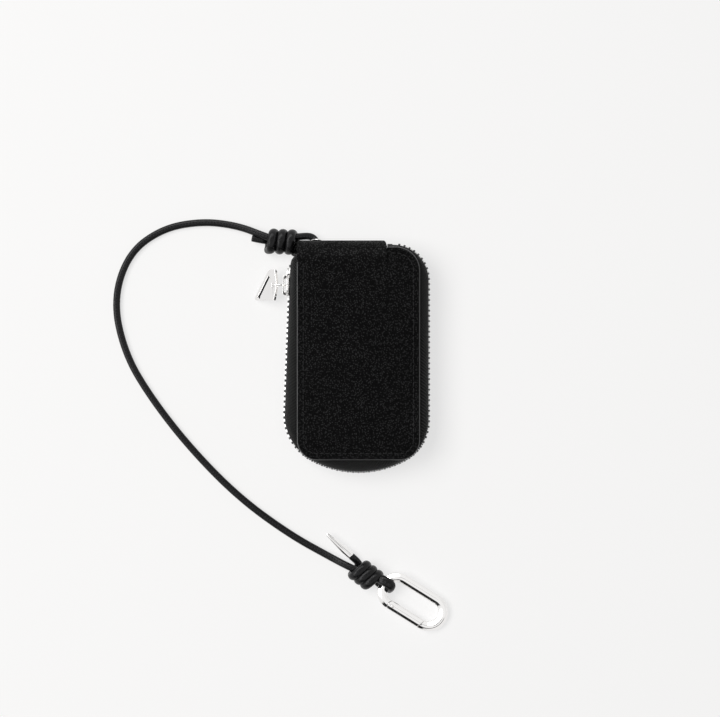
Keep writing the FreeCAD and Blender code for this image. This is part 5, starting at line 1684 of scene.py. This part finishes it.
class KEYCASE_OT_stage(bpy.types.Operator):
    """Pale floor, soft light and a camera that looks straight down"""

    bl_idname = "keycase.stage"
    bl_label = "Stage"

    def execute(self, context):
        scene = context.scene
        stage = scene.key_case_stage
        scene.view_settings.view_transform = "Standard"
        self.surroundings(scene, stage)
        self.window(scene, stage)
        self.floor(scene.key_case_colours)
        lens = bpy.data.cameras.new("camera")
        lens.sensor_width = 36.0
        lens.lens = stage.lens
        lens.clip_end = 20.0
        camera = bpy.data.objects.new("camera", lens)
        camera.location = (0.75 * MM, -4.18 * MM, stage.camera_height)
        scene.collection.objects.link(camera)
        scene.camera = camera
        return {"FINISHED"}

    @staticmethod
    def surroundings(scene, stage):
        """A dim even sky that lights, and a white room that shows. What metal mirrors of the room also has a
        dark side, a dark rail across from it, dim walls, a dark patch overhead and a bright pane."""
        world = bpy.data.worlds.new("studio")
        scene.world = world
        world.use_nodes = True
        tree = world.node_tree
        tree.nodes.clear()
        sky_tint, room_tint, dark_tint = (1.0, 0.995, 0.99), (0.96, 0.957, 0.955), (0.02, 0.02, 0.02)
        dark_side_way, pane_way = (0.174, -0.985, 0.0), (-0.8, 0.6, 0.0)
        rail_height, rail_dark, ceiling_dark, walls_dark, pane_strength = 0.79, 0.8, 0.93, 0.1, 4.0
        shown, mirrored = shown_rays(tree)
        direction = add(tree, "ShaderNodeTexCoord").outputs["Generated"]
        above = split(tree, direction)["Z"]
        level = vector_maths(tree, "MULTIPLY", direction, (1.0, 1.0, 0.0))["Vector"]
        compass = vector_maths(tree, "NORMALIZE", level)["Vector"]
        toward_dark = vector_maths(tree, "DOT_PRODUCT", compass, dark_side_way)["Value"]
        toward_pane = vector_maths(tree, "DOT_PRODUCT", compass, pane_way)["Value"]

        dark_side = times(tree, ranged(tree, toward_dark, 0.574, 0.707), fading(tree, above, 0.45, 0.6))
        from_rail = maths(tree, "ABSOLUTE", maths(tree, "SUBTRACT", above, rail_height))
        rail = ranged(tree, from_rail, 0.03, 0.1, rail_dark, 0.0)
        rail = times(tree, rail, fading(tree, toward_dark, -0.4, -0.2))
        ceiling = ranged(tree, above, 0.984, 0.992, 0.0, ceiling_dark)
        walls = ranged(tree, above, 0.2, 0.3, walls_dark, 0.0)
        dim = larger(tree, larger(tree, dark_side, rail), larger(tree, ceiling, walls))
        dim = times(tree, times(tree, dim, ranged(tree, above, 0.02, 0.05)), mirrored)
        pane = times(tree, ranged(tree, toward_pane, 0.2, 0.6), ranged(tree, above, 0.3, 0.42))
        pane = times(tree, times(tree, pane, fading(tree, above, 0.65, 0.75)), mirrored)

        sky = add(tree, "ShaderNodeBackground")
        fill(tree, sky, Color=rgba(sky_tint), Strength=stage.sky)
        room = add(tree, "ShaderNodeBackground")
        fill(tree, room, Color=tinted(tree, dim, rgba(room_tint), rgba(dark_tint)),
             Strength=maths(tree, "MULTIPLY_ADD", pane, pane_strength, 1.0))
        mixed_surface(tree, shown, sky, room, "ShaderNodeOutputWorld")

    @staticmethod
    def window(scene, stage):
        """One large soft lamp, which metal doesn't mirror."""
        lamp = bpy.data.lights.new("window", "AREA")
        lamp.shape = "RECTANGLE"
        lamp.size = 1.2
        lamp.size_y = 0.9
        lamp.energy = stage.window
        lamp.color = (1.0, 0.985, 0.965)
        window = bpy.data.objects.new("window", lamp)
        window.location = (-0.8, 0.25, 1.45)
        aim = Vector((0.0, -0.02, 0.0)) - window.location
        window.rotation_euler = aim.to_track_quat("-Z", "Y").to_euler()
        window.visible_glossy = False
        scene.collection.objects.link(window)

    @staticmethod
    def floor(colours):
        """A pale floor that takes the object's shadow and glows a little where it is seen."""
        material = bpy.data.materials.new("pale_floor")
        material.use_nodes = True
        tree = material.node_tree
        tree.nodes.clear()
        glow_share, reach, low = 0.72, 4000.0, -0.2
        grain = noise(tree, object_place(tree), 6.0, detail=3.0)
        paint = add(tree, "ShaderNodeBsdfDiffuse")
        fill(tree, paint, Color=shades(tree, grain["Fac"], colours.floor, darkest=0.995, palest=1.0))
        glow = add(tree, "ShaderNodeEmission")
        fill(tree, glow, Color=rgba(colours.floor))
        shown, mirrored = shown_rays(tree)
        mixed_surface(tree, times(tree, shown, glow_share), paint, glow, "ShaderNodeOutputMaterial")
        corners = [(-reach, -reach, low), (reach, -reach, low), (reach, reach, low), (-reach, reach, low)]
        floor = piece_from("floor", (corners, [(0, 1, 2, 3)]), material)


class KEYCASE_PT_sidebar(bpy.types.Panel):
    """Sizes, colours and pieces of the key case"""

    bl_idname = "KEYCASE_PT_sidebar"
    bl_label = "Key case"
    bl_space_type = "VIEW_3D"
    bl_region_type = "UI"
    bl_category = "Key case"

    def draw(self, context):
        layout = self.layout
        scene = context.scene
        for group in (scene.key_case_sizes, scene.key_case_colours, scene.key_case_stage):
            box = layout.box()
            for name in group.bl_rna.properties.keys():
                if name not in ("rna_type", "name"):
                    box.prop(group, name)
        for operator in OPERATORS:
            layout.operator(operator.bl_idname)


GROUPS = (KeyCaseSizes, KeyCaseColours, KeyCaseStage)
OPERATORS = (KEYCASE_OT_stage, KEYCASE_OT_cover, KEYCASE_OT_stitches, KEYCASE_OT_zip_tapes,
             KEYCASE_OT_zip_teeth, KEYCASE_OT_slider, KEYCASE_OT_pull, KEYCASE_OT_inside, KEYCASE_OT_eyelet,
             KEYCASE_OT_carabiner, KEYCASE_OT_cord)


def register():
    for item in GROUPS + OPERATORS + (KEYCASE_PT_sidebar,):
        bpy.utils.register_class(item)
    bpy.types.Scene.key_case_sizes = PointerProperty(type=KeyCaseSizes)
    bpy.types.Scene.key_case_colours = PointerProperty(type=KeyCaseColours)
    bpy.types.Scene.key_case_stage = PointerProperty(type=KeyCaseStage)


def unregister():
    del bpy.types.Scene.key_case_stage
    del bpy.types.Scene.key_case_colours
    del bpy.types.Scene.key_case_sizes
    for item in reversed(GROUPS + OPERATORS + (KEYCASE_PT_sidebar,)):
        bpy.utils.unregister_class(item)


def main():
    register()
    bpy.ops.keycase.stage()
    bpy.ops.keycase.cover()
    bpy.ops.keycase.stitches()
    bpy.ops.keycase.zip_tapes()
    bpy.ops.keycase.zip_teeth()
    bpy.ops.keycase.slider()
    bpy.ops.keycase.pull()
    bpy.ops.keycase.inside()
    bpy.ops.keycase.eyelet()
    bpy.ops.keycase.carabiner()
    bpy.ops.keycase.cord()


if __name__ == "__main__":
    main()
